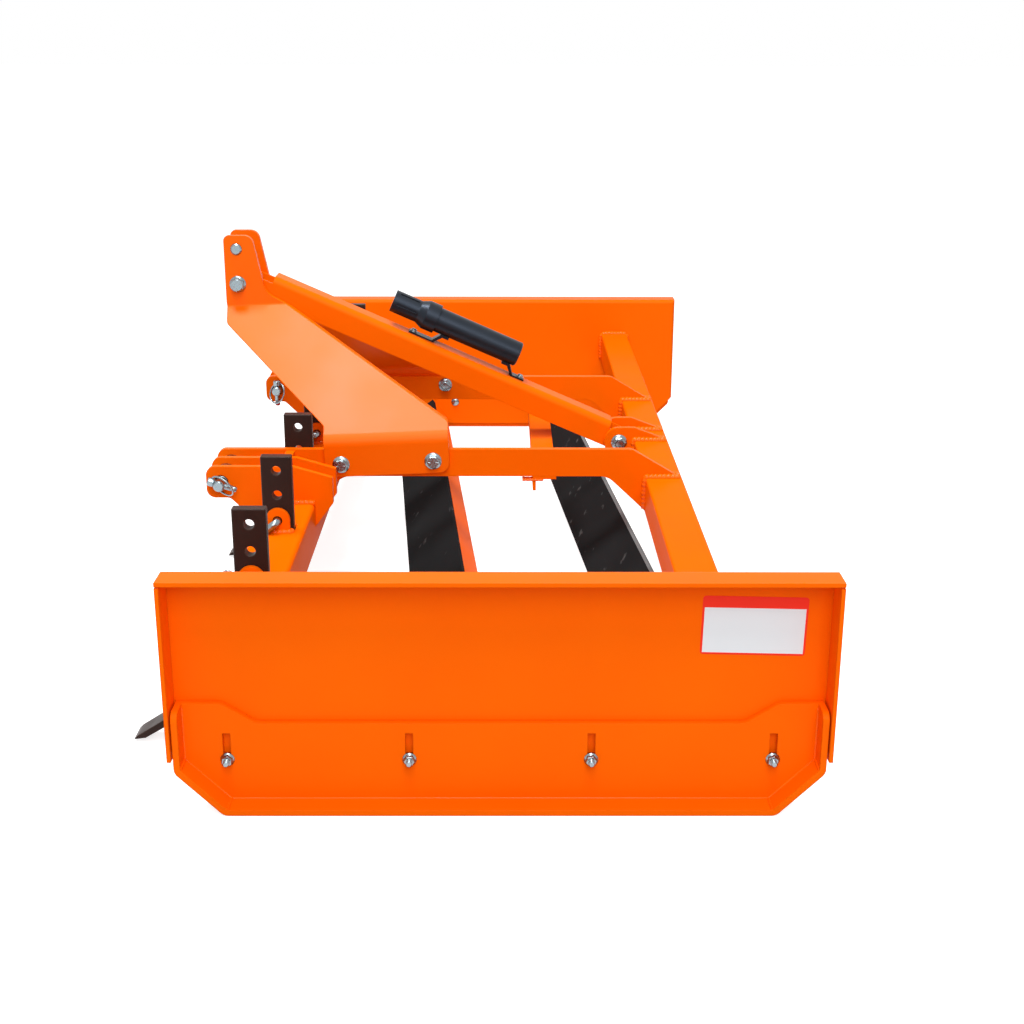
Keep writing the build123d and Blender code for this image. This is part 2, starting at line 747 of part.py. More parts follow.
grip_start = cap_skirt_length + cap_taper_length
with BuildPart() as canister_cap:
    with BuildSketch(along_brace(0)):
        with BuildLine():
            Polyline(
                (canister_end, axis_height),
                (canister_end, axis_height + cap_skirt_radius),
                (canister_end + cap_skirt_length, axis_height + cap_skirt_radius),
                (canister_end + grip_start, axis_height + cap_grip_radius),
                (canister_end + cap_length, axis_height + cap_grip_radius),
                (canister_end + cap_length, axis_height),
                close=True,
            )
        make_face()
    cap_plane = across_canister(canister_end)
    revolve(axis=Axis(cap_plane.origin, cap_plane.z_dir))
    with BuildSketch(cap_plane):
        Circle(canister_radius - canister_wall - cap_plug_gap)
    extrude(amount=-cap_plug_length)
    with BuildSketch(across_canister(canister_end + cap_length - cap_end_length)):
        with PolarLocations(cap_grip_radius, cap_groove_count):
            Rectangle(2 * cap_groove_depth, cap_groove_width)
    extrude(amount=-cap_groove_length, mode=Mode.SUBTRACT)
finish(canister_cap, "canister_cap")

# Straps: each runs from a foot on the brace's web up to a ledge under the tube
ledge_height = axis_height - canister_radius
strap_table = [
    (414.0, 372.0, 359.0),
    (196.0, 218.0, 230.0),
]
with BuildPart() as canister_straps:
    for foot_end, foot_heel, ledge_start in strap_table:
        way = 1 if ledge_start > foot_heel else -1
        with BuildSketch(along_brace(strap_width / 2)):
            with BuildLine():
                Polyline(
                    (foot_end, web_top),
                    (foot_heel + way * strap_thickness, web_top),
                    (ledge_start + way * strap_thickness, ledge_height - strap_thickness),
                    (ledge_start + way * strap_ledge, ledge_height - strap_thickness),
                    (ledge_start + way * strap_ledge, ledge_height + strap_saddle),
                    (ledge_start, ledge_height + strap_saddle),
                    (foot_heel, web_top + strap_thickness),
                    (foot_end, web_top + strap_thickness),
                    close=True,
                )
            make_face()
        extrude(amount=strap_width)
    with BuildSketch(across_canister(canister_start - canister_length)):
        Circle(canister_radius)
    extrude(amount=3 * canister_length, mode=Mode.SUBTRACT)
finish(canister_straps, "canister_straps")
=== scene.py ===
"""Looks for the grading scraper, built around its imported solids.

Lengthwise places are millimetres from the middle of the side panels, as in the part's source. Places across
the machine and heights are millimetres from its middle and from the ground.
"""

import json
import logging
import math
from dataclasses import dataclass
from enum import Enum
from typing import Any, Sequence

import bmesh
import bpy
from mathutils import Matrix, Vector


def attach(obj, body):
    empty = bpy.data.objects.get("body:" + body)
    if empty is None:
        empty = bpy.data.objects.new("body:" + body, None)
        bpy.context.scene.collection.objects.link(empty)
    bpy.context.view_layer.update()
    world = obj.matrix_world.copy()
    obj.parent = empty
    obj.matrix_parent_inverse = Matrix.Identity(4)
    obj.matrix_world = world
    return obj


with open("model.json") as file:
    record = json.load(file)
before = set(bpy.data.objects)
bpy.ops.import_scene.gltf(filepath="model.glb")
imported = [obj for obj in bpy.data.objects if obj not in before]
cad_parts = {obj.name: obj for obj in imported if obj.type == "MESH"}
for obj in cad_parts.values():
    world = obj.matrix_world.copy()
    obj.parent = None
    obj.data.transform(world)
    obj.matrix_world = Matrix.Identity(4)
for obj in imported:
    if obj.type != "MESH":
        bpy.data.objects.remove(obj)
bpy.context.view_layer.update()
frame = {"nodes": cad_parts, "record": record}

LOG = logging.getLogger("grading_scraper")
MM = 0.001
CENTRE_X = 46.0
FRAME_BODY = "frame"
SIDES = (("left", 1), ("right", -1))
PANEL_INNER = 909.5
SHOE_WEB = 922.9
BAR_FACES = (253.7, 265.7)
HITCH_OUTER = 365.7
SHANK_PITCH = 245.0
SHANK_NUMBERS = range(-3, 4)
EAR_REACH = 16.7
MAST_X = 449.0
LABEL_MIDDLE = (-307.0, 237.0)
LABEL_TURN = math.radians(1.2)
SUNK = 0.3  # how deep a fastener's base sits in its plate
Point = tuple[float, float, float]
Pair = tuple[float, float]
Profile = list[Pair]
Link = bpy.types.Node | bpy.types.NodeSocket
Tree = bpy.types.NodeTree
Material = bpy.types.Material
Mesh = bpy.types.Mesh


class Slot(Enum):
    """The record's material slots."""

    ORANGE = "orange_powder_coat"
    BLACK = "shank_black"
    BLADE = "blade_steel"
    PLASTIC = "canister_plastic"


def place(x: float, y: float, z: float) -> Vector:
    """Turns a place in millimetres from the panels' middle into metres in the shared frame.

    Args:
        x: Lengthwise place, forwards.
        y: Place across the machine, to its left.
        z: Height above the ground.

    Returns:
        The point in metres.
    """
    return Vector(((x - CENTRE_X) * MM, y * MM, z * MM))


def linear(code: str) -> tuple[float, float, float, float]:
    """Turns an sRGB hex colour into linear values.

    Args:
        code: Six hex digits after a hash sign.

    Returns:
        Linear red, green and blue, with an alpha of 1.
    """
    parts = [int(code[i : i + 2], 16) / 255 for i in (1, 3, 5)]
    red, green, blue = (p / 12.92 if p <= 0.04045 else ((p + 0.055) / 1.055) ** 2.4 for p in parts)
    return red, green, blue, 1.0


def per_mm(size: float) -> float:
    """Gives a texture's scale for a feature of that size in millimetres."""
    return 1.0 / (size * MM)


def add_node(tree: Tree, kind: str, sockets: dict | None = None, **settings: Any) -> bpy.types.Node:
    """Adds one node with its settings, and sets or links its input sockets.

    Args:
        tree: The tree that gets the node.
        kind: The node's type name.
        sockets: Values, output sockets or nodes by the input's name or number. A node gives its first output.
        **settings: Properties of the node itself.

    Returns:
        The new node.
    """
    node = tree.nodes.new(kind)
    for name, value in settings.items():
        setattr(node, name, value)
    for key, value in (sockets or {}).items():
        if isinstance(value, bpy.types.Node):
            value = next(output for output in value.outputs if output.enabled)
        if isinstance(value, bpy.types.NodeSocket):
            tree.links.new(value, node.inputs[key])
        else:
            node.inputs[key].default_value = value
    return node


def new_material(name: str) -> Material:
    """Makes a material that has no nodes yet.

    Args:
        name: The material's name.

    Returns:
        The material.
    """
    material = bpy.data.materials.new(name)
    material.use_nodes = True
    material.node_tree.nodes.clear()
    return material


def end_material(tree: Tree, **sockets: Any) -> None:
    """Ends a material's tree in one principled shader.

    Args:
        tree: The material's tree.
        **sockets: Values or links by the shader inputs' names, with underscores for spaces.
    """
    named = {name.replace("_", " "): value for name, value in sockets.items()}
    shader = add_node(tree, "ShaderNodeBsdfPrincipled", named)
    add_node(tree, "ShaderNodeOutputMaterial", {"Surface": shader.outputs["BSDF"]})


@dataclass(frozen=True)
class Finish:
    """A skin of two close colours in soft patches, with a fine grain and rounded edges.

    Roughness follows the patches. A finish without grain or edges has a size of 0 there.
    """

    name: str
    colours: tuple[str, str]
    patch_mm: float
    patch_detail: float = 3.0
    patch_span: Pair = (0.3, 0.7)
    roughness: Pair = (0.3, 0.42)
    grain_mm: float = 0.0
    grain_detail: float = 2.0
    grain_strength: float = 0.5
    grain_height_mm: float = 0.0
    edge_mm: float = 0.0
    edge_samples: int = 4
    metallic: float = 0.0
    ior: float = 1.5
    gloss_level: float = 0.5
    sheen: str = "#FFFFFF"

    def coords(self, tree: Tree) -> Link:
        """Gives the coordinates that the patches and the grain read."""
        return add_node(tree, "ShaderNodeTexCoord").outputs["Object"]

    def wear(self, tree: Tree, tint: Link, grain: Link | None, edge: Link | None) -> Link:
        """Adds marks and wear to the colour, where a finish has them.

        Args:
            tree: The material's tree.
            tint: The patchy colour.
            grain: The grain's height, if any.
            edge: The normal with rounded edges, if any.

        Returns:
            The colour that shows.
        """
        return tint

    def build(self) -> Material:
        """Builds the finish.

        Returns:
            The material.
        """
        material = new_material(self.name)
        tree = material.node_tree
        coords = self.coords(tree)
        patches = {"Vector": coords, "Scale": per_mm(self.patch_mm), "Detail": self.patch_detail}
        patch = add_node(tree, "ShaderNodeTexNoise", patches)
        blend = {0: patch, 6: linear(self.colours[0]), 7: linear(self.colours[1])}
        tint = add_node(tree, "ShaderNodeMix", blend, data_type="RGBA")
        low, high = self.roughness
        skin: dict[str, Any] = {"Roughness": low}
        if low < high:
            span = {0: patch, 1: self.patch_span[0], 2: self.patch_span[1], 3: low, 4: high}
            skin["Roughness"] = add_node(tree, "ShaderNodeMapRange", span)
        grain = edge = None
        if self.edge_mm:
            radius = {"Radius": self.edge_mm * MM}
            edge = skin["Normal"] = add_node(tree, "ShaderNodeBevel", radius, samples=self.edge_samples)
        if self.grain_mm:
            grains = {"Vector": coords, "Scale": per_mm(self.grain_mm), "Detail": self.grain_detail}
            grain = add_node(tree, "ShaderNodeTexNoise", grains)
            relief = {"Strength": self.grain_strength, "Distance": self.grain_height_mm * MM, "Height": grain}
            skin["Normal"] = add_node(tree, "ShaderNodeBump", {**relief, "Normal": edge})
        end_material(
            tree,
            Base_Color=self.wear(tree, tint, grain, edge),
            Metallic=self.metallic,
            IOR=self.ior,
            Specular_IOR_Level=self.gloss_level,
            Specular_Tint=linear(self.sheen),
            **skin,
        )
        return material


@dataclass(frozen=True)
class PowderCoat(Finish):
    """Gloss polyester powder coat on steel.

    It melts and levels in the oven, so the eye gets a faint orange peel, slightly uneven colour and bright
    rounded edges.
    """

    name: str = "orange_powder_coat"
    colours: tuple[str, str] = ("#F56000", "#FA6A02")
    patch_mm: float = 160.0
    roughness: Pair = (0.29, 0.39)
    grain_mm: float = 6.0  # real peel is nearer 2 mm, too fine to show
    grain_height_mm: float = 0.05
    edge_mm: float = 2.0
    gloss_level: float = 0.03


@dataclass(frozen=True)
class ShankPaint(Finish):
    """Dip-painted spring steel bar: thin satin brown-black paint over rolled scale, with edges paler from
    rubbed wear and painted highlight.
    """

    name: str = "shank_satin_paint"
    colours: tuple[str, str] = ("#261A17", "#33231E")
    edge_wear_and_highlight_colour: str = "#6B5B54"
    edge_wear_and_highlight_share: float = 0.55
    edge_wear_and_highlight_span: Pair = (0.99, 0.8)
    patch_mm: float = 35.0
    patch_detail: float = 5.0
    roughness: Pair = (0.3, 0.46)
    grain_mm: float = 5.0
    grain_detail: float = 3.0
    grain_height_mm: float = 0.15
    edge_mm: float = 2.5
    edge_samples: int = 6
    gloss_level: float = 0.1

    def wear(self, tree: Tree, tint: Link, grain: Link | None, edge: Link | None) -> Link:
        """Paints the edges paler where the rounded normal leaves the flat one: paint rubbed thin, plus a
        painted highlight.

        Args:
            tree: The material's tree.
            tint: The patchy colour.
            grain: The grain's height.
            edge: The normal with rounded edges.

        Returns:
            The colour that shows.
        """
        flat = add_node(tree, "ShaderNodeNewGeometry").outputs["Normal"]
        turn = add_node(tree, "ShaderNodeVectorMath", {0: edge, 1: flat}, operation="DOT_PRODUCT")
        span = {0: turn, 1: self.edge_wear_and_highlight_span[0], 2: self.edge_wear_and_highlight_span[1], 3: 0.0, 4: self.edge_wear_and_highlight_share}
        # paler edges: partly rubbed wear, partly painted highlight
        pale_edge_mask = add_node(tree, "ShaderNodeMapRange", span)
        blend = {0: pale_edge_mask, 6: tint, 7: linear(self.edge_wear_and_highlight_colour)}
        return add_node(tree, "ShaderNodeMix", blend, data_type="RGBA")


@dataclass(frozen=True)
class BladeSteel(Finish):
    """Hot-rolled blade steel, oiled black, with slanting pale scuffs, and paler on the rear one's upper edge
    and rim.
    """

    name: str = "blade_rolled_steel"
    colours: tuple[str, str] = ("#161718", "#27292A")
    scuff_colour: str = "#8C8F8E"
    scuff_share: float = 0.34
    scuff_span: Pair = (0.64, 0.76)
    pale_edge_colour: str = "#7A8081"
    pale_edge_span: Pair = (0.985, 0.995)
    patch_mm: float = 90.0
    patch_detail: float = 5.0
    roughness: Pair = (0.74, 0.88)
    grain_mm: float = 18.0
    grain_detail: float = 7.0
    grain_strength: float = 0.4
    grain_height_mm: float = 0.1
    edge_mm: float = 1.2
    gloss_level: float = 0.015
    streak: float = 4.5
    slant_deg: float = -20.0
    rim_mm: float = 64.3
    rake_deg: float = 37.8
    skew_deg: float = 4.9

    def coords(self, tree: Tree) -> Link:
        """Draws the coordinates out along the scuffs.

        Args:
            tree: The material's tree.

        Returns:
            The coordinates.
        """
        values = {
            "Vector": super().coords(tree),
            "Rotation": (0.0, 0.0, math.radians(self.slant_deg)),
            "Scale": (1.0, self.streak, 1.0),
        }
        return add_node(tree, "ShaderNodeMapping", values, vector_type="TEXTURE")

    def wear(self, tree: Tree, tint: Link, grain: Link | None, edge: Link | None) -> Link:
        """Adds the scuffs, and makes the rear blade paler on the face turned to its upper edge and above the
        rim height.

        Args:
            tree: The material's tree.
            tint: The patchy colour.
            grain: The grain's height.
            edge: The normal with rounded edges.

        Returns:
            The colour that shows.
        """
        span = {0: grain, 1: self.scuff_span[0], 2: self.scuff_span[1], 3: 0.0, 4: self.scuff_share}
        worn = add_node(tree, "ShaderNodeMapRange", span)
        blend = {0: worn, 6: tint, 7: linear(self.scuff_colour)}
        scuffed = add_node(tree, "ShaderNodeMix", blend, data_type="RGBA")
        # rear blade only: paler on faces turned to the upper edge and above the rim height
        rake, skew = math.radians(self.rake_deg), math.radians(self.skew_deg)
        run = -math.cos(rake)
        upper_edge = (run * math.cos(skew), run * math.sin(skew), math.sin(rake))
        at = add_node(tree, "ShaderNodeTexCoord").outputs
        facing = {0: at["Normal"], 1: upper_edge}
        turn = add_node(tree, "ShaderNodeVectorMath", facing, operation="DOT_PRODUCT")
        span = {0: turn, 1: self.pale_edge_span[0], 2: self.pale_edge_span[1], 3: 0.0, 4: 1.0}
        edge_facing_mask = add_node(tree, "ShaderNodeMapRange", span)
        spot = add_node(tree, "ShaderNodeSeparateXYZ", {0: at["Object"]}).outputs
        rim = add_node(tree, "ShaderNodeMath", {0: spot["Z"], 1: self.rim_mm * MM}, operation="GREATER_THAN")
        upper = add_node(tree, "ShaderNodeMath", {0: edge_facing_mask, 1: rim}, operation="MAXIMUM")
        rear = add_node(tree, "ShaderNodeMath", {0: spot["X"], 1: 0.0}, operation="LESS_THAN")
        pale = add_node(tree, "ShaderNodeMath", {0: upper, 1: rear}, operation="MULTIPLY")
        blend = {0: pale, 6: scuffed, 7: linear(self.pale_edge_colour)}
        return add_node(tree, "ShaderNodeMix", blend, data_type="RGBA")


@dataclass(frozen=True)
class MouldedPlastic(Finish):
    """Injection-moulded polypropylene: near-black, with a fine spark-eroded grain and a soft sheen, its
    reflections tinted blue as a painted sky reflection.
    """

    name: str = "canister_polypropylene"
    colours: tuple[str, str] = ("#111315", "#181B1F")
    patch_mm: float = 60.0
    grain_mm: float = 3.0
    grain_strength: float = 0.4
    grain_height_mm: float = 0.06
    edge_mm: float = 1.0
    ior: float = 1.49
    # bluish tint on the reflections: a painted reflection of a blue sky
    sheen: str = "#AEBFDA"


@dataclass(frozen=True)
class ZincPlate(Finish):
    """Bright electroplated zinc on steel fasteners: a cool silver skin with small cloudy spangles."""

    name: str = "bright_zinc_plate"
    colours: tuple[str, str] = ("#7D8B92", "#9AA7AC")
    patch_mm: float = 4.0
    patch_detail: float = 4.0
    roughness: Pair = (0.2, 0.34)
    edge_mm: float = 0.5
    metallic: float = 1.0


@dataclass(frozen=True)
class DippedTip(Finish):
    """Red vinyl dip on a lynch pin's tip: soft, slightly glossy and thicker in places."""

    name: str = "red_vinyl_dip"
    colours: tuple[str, str] = ("#9E1512", "#C21F1A")
    patch_mm: float = 5.0
    patch_detail: float = 2.0
    roughness: Pair = (0.35, 0.35)
    ior: float = 1.53


@dataclass(frozen=True)
class VinylLabel:
    """Blank printed vinyl: white film with a plain red band and border, rippled slightly by the steel."""

    name: str = "blank_vinyl_label"
    white: str = "#DEE6EA"
    red: str = "#F0301A"
    band_mm: float = 23.0
    border_mm: Pair = (-61.4, -35.4)
    ripple_mm: float = 25.0
    ripple_height_mm: float = 0.1
    ripple_strength: float = 0.3
    roughness: float = 0.42
    gloss_level: float = 0.15
    ior: float = 1.5

    def build(self) -> Material:
        """Builds the finish.

        Returns:
            The material.
        """
        material = new_material(self.name)
        tree = material.node_tree
        coords = add_node(tree, "ShaderNodeTexCoord").outputs["Object"]
        middle = place(LABEL_MIDDLE[0], 0.0, LABEL_MIDDLE[1])
        turned = {"Vector": coords, "Center": middle, "Angle": LABEL_TURN}
        level = add_node(tree, "ShaderNodeVectorRotate", turned, rotation_type="Y_AXIS")
        spot = add_node(tree, "ShaderNodeSeparateXYZ", {0: level}).outputs
        printed = None
        for axis, edge, test in (
            ("Z", middle.z + self.band_mm * MM, "GREATER_THAN"),
            ("X", middle.x + self.border_mm[0] * MM, "LESS_THAN"),
            ("X", middle.x - self.border_mm[0] * MM, "GREATER_THAN"),
            ("Z", middle.z + self.border_mm[1] * MM, "LESS_THAN"),
        ):
            inked = add_node(tree, "ShaderNodeMath", {0: spot[axis], 1: edge}, operation=test)
            if printed:
                both = {0: printed, 1: inked}
                inked = add_node(tree, "ShaderNodeMath", both, operation="MAXIMUM")
            printed = inked
        blend = {0: printed, 6: linear(self.white), 7: linear(self.red)}
        ink = add_node(tree, "ShaderNodeMix", blend, data_type="RGBA")
        waves = {"Vector": coords, "Scale": per_mm(self.ripple_mm), "Detail": 1.0}
        ripple = add_node(tree, "ShaderNodeTexNoise", waves)
        relief = {"Strength": self.ripple_strength, "Distance": self.ripple_height_mm * MM, "Height": ripple}
        bump = add_node(tree, "ShaderNodeBump", relief)
        plain = {"IOR": self.ior, "Roughness": self.roughness, "Specular_IOR_Level": self.gloss_level}
        end_material(tree, Base_Color=ink, Normal=bump, **plain)
        return material


class MeshDraft:
    """Faces collected for one piece."""

    def __init__(self) -> None:
        """Starts with no faces."""
        self.faces = bmesh.new()

    def join(self, low: list, high: list) -> None:
        """Joins two rings of points, either of which may be one point at a pole.

        Args:
            low: The first ring.
            high: The second ring.
        """
        count = max(len(low), len(high))
        for i in range(count):
            j = (i + 1) % count
            corners = [low[i % len(low)], low[j % len(low)], high[j % len(high)], high[i % len(high)]]
            unique = list(dict.fromkeys(corners))
            if len(unique) > 2:
                self.faces.faces.new(unique)

    def turn(self, start: Vector, axis: Vector, profile: Profile, sides: int) -> None:
        """Adds a turned shape, or a hexagon where it has six sides.

        Args:
            start: Where the profile's zero lies, in metres.
            axis: The way that the profile runs.
            profile: Radius and distance along the axis in millimetres, from pole to pole.
            sides: Points round the shape.
        """
        run = axis.normalized()
        side = run.cross(Vector((0.0, 0.0, 1.0)))
        side = side.normalized() if side.length > 0.01 else Vector((1.0, 0.0, 0.0))
        other = run.cross(side)
        rings = []
        for radius, along in profile:
            centre = start + run * (along * MM)
            angles = [2 * math.pi * i / sides for i in range(sides)] if radius else [0.0]
            ways = [side * math.cos(a) + other * math.sin(a) for a in angles]
            rings.append([self.faces.verts.new(centre + way * (radius * MM)) for way in ways])
        for low, high in zip(rings, rings[1:]):
            self.join(low, high)

    def slab(self, corners: Sequence[Vector], depth: Vector) -> None:
        """Adds a flat plate.

        Args:
            corners: Its outline, in order.
            depth: Its thickness and the way that it grows.
        """
        low = [self.faces.verts.new(c) for c in corners]
        high = [self.faces.verts.new(c + depth) for c in corners]
        self.join(low, high)
        self.faces.faces.new(low)
        self.faces.faces.new(high)

    def mesh(self, name: str, sharp_deg: float = 32.0) -> Mesh:
        """Closes the draft into a mesh with its faces pointing outwards.

        Args:
            name: The mesh's name.
            sharp_deg: Edges that turn more than this stay sharp.

        Returns:
            The mesh.
        """
        bmesh.ops.recalc_face_normals(self.faces, faces=self.faces.faces)
        for face in self.faces.faces:
            face.smooth = True
        for edge in self.faces.edges:
            edge.smooth = edge.calc_face_angle(math.pi) < math.radians(sharp_deg)
        mesh = bpy.data.meshes.new(name)
        self.faces.to_mesh(mesh)
        self.faces.free()
        return mesh


def show(
    name: str,
    mesh: Mesh,
    material: Material | None = None,
    body: str = FRAME_BODY,
) -> None:
    """Links a finished mesh as a piece that rides on one of the machine's bodies.

    Args:
        name: The piece's name.
        mesh: Its mesh, in place.
        material: Its material, unless the mesh has it already.
        body: The body that it rides on.
    """
    piece = bpy.data.objects.new(name, mesh)
    bpy.context.scene.collection.objects.link(piece)
    if material:
        mesh.materials.clear()
        mesh.materials.append(material)
    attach(piece, body)
    LOG.info("%s: %d faces", name, len(mesh.polygons))


def smooth_path(points: Sequence[Point], steps: int, closed: bool = False) -> list[Point]:
    """Draws a smooth line through a wire's bend points.

    Args:
        points: The bend points.
        steps: Pieces between two points.
        closed: True for a ring.

    Returns:
        The line's points.
    """
    line: list[Point] = []
    count = len(points)
    for i in range(count if closed else count - 1):
        near = [i + k if closed else min(max(i + k, 0), count - 1) for k in (-1, 0, 1, 2)]
        a, b, c, d = (Vector(points[k % count]) for k in near)
        for step in range(steps):
            t = step / steps
            point = 2 * b + (c - a) * t
            point += (2 * a - 5 * b + 4 * c - d) * t * t
            point += (3 * b - a - 3 * c + d) * t**3
            line.append(tuple(0.5 * point))
    return line if closed else [*line, tuple(points[-1])]


class NodeShape:
    """A Geometry Nodes tree with named inputs that ends in realised geometry with its finish set."""

    def __init__(self, name: str, inputs: dict[str, str]) -> None:
        """Makes the tree's outside.

        Args:
            name: The tree's name.
            inputs: Link types by the inputs' names.
        """
        self.tree = bpy.data.node_groups.new(name, "GeometryNodeTree")
        face = self.tree.interface
        face.new_socket("Geometry", in_out="INPUT", socket_type="NodeSocketGeometry")
        for label, kind in {**inputs, "Finish": "NodeSocketMaterial"}.items():
            face.new_socket(label, in_out="INPUT", socket_type=kind)
        face.new_socket("Geometry", in_out="OUTPUT", socket_type="NodeSocketGeometry")
        self.given = add_node(self.tree, "NodeGroupInput").outputs

    def close(self, shape: Link, smooth: bool) -> None:
        """Realises the shape, sets its finish and ends the tree.

        Args:
            shape: The geometry to end with.
            smooth: True to shade all of it smooth.
        """
        real = add_node(self.tree, "GeometryNodeRealizeInstances", {0: shape})
        if smooth:
            real = add_node(self.tree, "GeometryNodeSetShadeSmooth", {0: real})
        worn = {"Geometry": real, "Material": self.given["Finish"]}
        dressed = add_node(self.tree, "GeometryNodeSetMaterial", worn)
        add_node(self.tree, "NodeGroupOutput", {0: dressed})

    def run(
        self, lines: Sequence[Sequence[Vector]], values: dict[str, Any], closed: bool = False
    ) -> Mesh:
        """Runs the tree on lines of points.

        Args:
            lines: Each line's points, in metres.
            values: The tree's inputs by name.
            closed: True where each line is a ring.

        Returns:
            The result as a plain mesh.
        """
        points, edges = [], []
        for line in lines:
            first = len(points)
            points += [tuple(p) for p in line]
            edges += [(first + i, first + i + 1) for i in range(len(line) - 1)]
            if closed:
                edges.append((len(points) - 1, first))
        carrier_mesh = bpy.data.meshes.new("carrier")
        carrier_mesh.from_pydata(points, edges, [])
        carrier = bpy.data.objects.new("carrier", carrier_mesh)
        modifier = carrier.modifiers.new("shape", "NODES")
        modifier.node_group = self.tree
        for item in self.tree.interface.items_tree:
            if item.in_out == "INPUT" and item.name in values:
                modifier[item.identifier] = values[item.name]
        bpy.context.scene.collection.objects.link(carrier)
        ready = carrier.evaluated_get(bpy.context.evaluated_depsgraph_get())
        mesh = bpy.data.meshes.new_from_object(ready)
        bpy.data.objects.remove(carrier)
        bpy.data.meshes.remove(carrier_mesh)
        return mesh

    def sweep(self, curve: Link, across: Link, **sockets: Link) -> None:
        """Sweeps a circle along a curve and ends the tree.

        Args:
            curve: The curve.
            across: The circle's diameter.
            **sockets: More inputs of the sweep.
        """
        radius = add_node(self.tree, "ShaderNodeMath", {0: across, 1: 0.5}, operation="MULTIPLY")
        circle = {"Resolution": 12, "Radius": radius}
        ring = add_node(self.tree, "GeometryNodeCurvePrimitiveCircle", circle)
        swept = {"Curve": curve, "Profile Curve": ring, "Fill Caps": True, **sockets}
        self.close(add_node(self.tree, "GeometryNodeCurveToMesh", swept), smooth=True)


class WireShape(NodeShape):
    """Round wire or bar along bent paths."""

    def __init__(self) -> None:
        """Builds the tree."""
        super().__init__("bent_wire", {"Diameter": "NodeSocketFloat"})
        path = add_node(self.tree, "GeometryNodeMeshToCurve", {0: self.given["Geometry"]})
        self.sweep(path, self.given["Diameter"])


class BeadShape(NodeShape):
    """Weld bead along a joint: a rounded run with overlapping ripples and a slightly uneven width."""

    def __init__(self) -> None:
        """Builds the tree."""
        sizes = {name: "NodeSocketFloat" for name in ("Width", "Ripple", "Unevenness")}
        super().__init__("weld_bead", {**sizes, "Seed": "NodeSocketInt"})
        tree, given = self.tree, self.given
        path = add_node(tree, "GeometryNodeMeshToCurve", {0: given["Geometry"]})
        step = add_node(tree, "ShaderNodeMath", {0: given["Ripple"], 1: 0.25}, operation="MULTIPLY")
        steps = {"Curve": path, "Length": step}
        fine = add_node(tree, "GeometryNodeResampleCurve", steps, mode="LENGTH")
        index = add_node(tree, "GeometryNodeInputIndex")
        phase = add_node(tree, "ShaderNodeMath", {0: index, 1: math.pi / 4}, operation="MULTIPLY")
        wave = add_node(tree, "ShaderNodeMath", {0: phase}, operation="SINE")
        crest = add_node(tree, "ShaderNodeMath", {0: wave}, operation="ABSOLUTE")
        valley, ridge = 0.84, 1.06
        span = {0: crest, 1: 0.0, 2: 1.0, 3: valley, 4: ridge}
        ripple = add_node(tree, "ShaderNodeMapRange", span)
        least, most = (
            add_node(tree, "ShaderNodeMath", {0: 1.0, 1: given["Unevenness"]}, operation=way)
            for way in ("SUBTRACT", "ADD")
        )
        drawn = {2: least, 3: most, "Seed": given["Seed"]}
        uneven = add_node(tree, "FunctionNodeRandomValue", drawn, data_type="FLOAT")
        blur = {0: uneven, "Iterations": 4}
        soft = add_node(tree, "GeometryNodeBlurAttribute", blur, data_type="FLOAT")
        scale = add_node(tree, "ShaderNodeMath", {0: ripple, 1: soft}, operation="MULTIPLY")
        self.sweep(fine, given["Width"], Scale=scale)


class FastenerShape(NodeShape):
    """One fastener repeated on marked points, each turned at random about its own axis."""

    def __init__(self) -> None:
        """Builds the tree."""
        super().__init__("fastener_row", {"Fastener": "NodeSocketObject", "Seed": "NodeSocketInt"})
        tree, given = self.tree, self.given
        sample = {"Object": given["Fastener"], "As Instance": True}
        fastener = add_node(tree, "GeometryNodeObjectInfo", sample).outputs["Geometry"]
        drawn = {2: 0.0, 3: 2 * math.pi, "Seed": given["Seed"]}
        spin = add_node(tree, "FunctionNodeRandomValue", drawn, data_type="FLOAT")
        turn = add_node(tree, "ShaderNodeCombineXYZ", {"Y": spin})
        row = {"Points": given["Geometry"], "Instance": fastener, "Rotation": turn}
        self.close(add_node(tree, "GeometryNodeInstanceOnPoints", row), smooth=False)


class FastenerKind(Enum):
    """What shows of a bolt on one side."""

    NUT = "nut"
    LOCKNUT = "locknut"
    HEAD = "head"
    DOME = "dome"


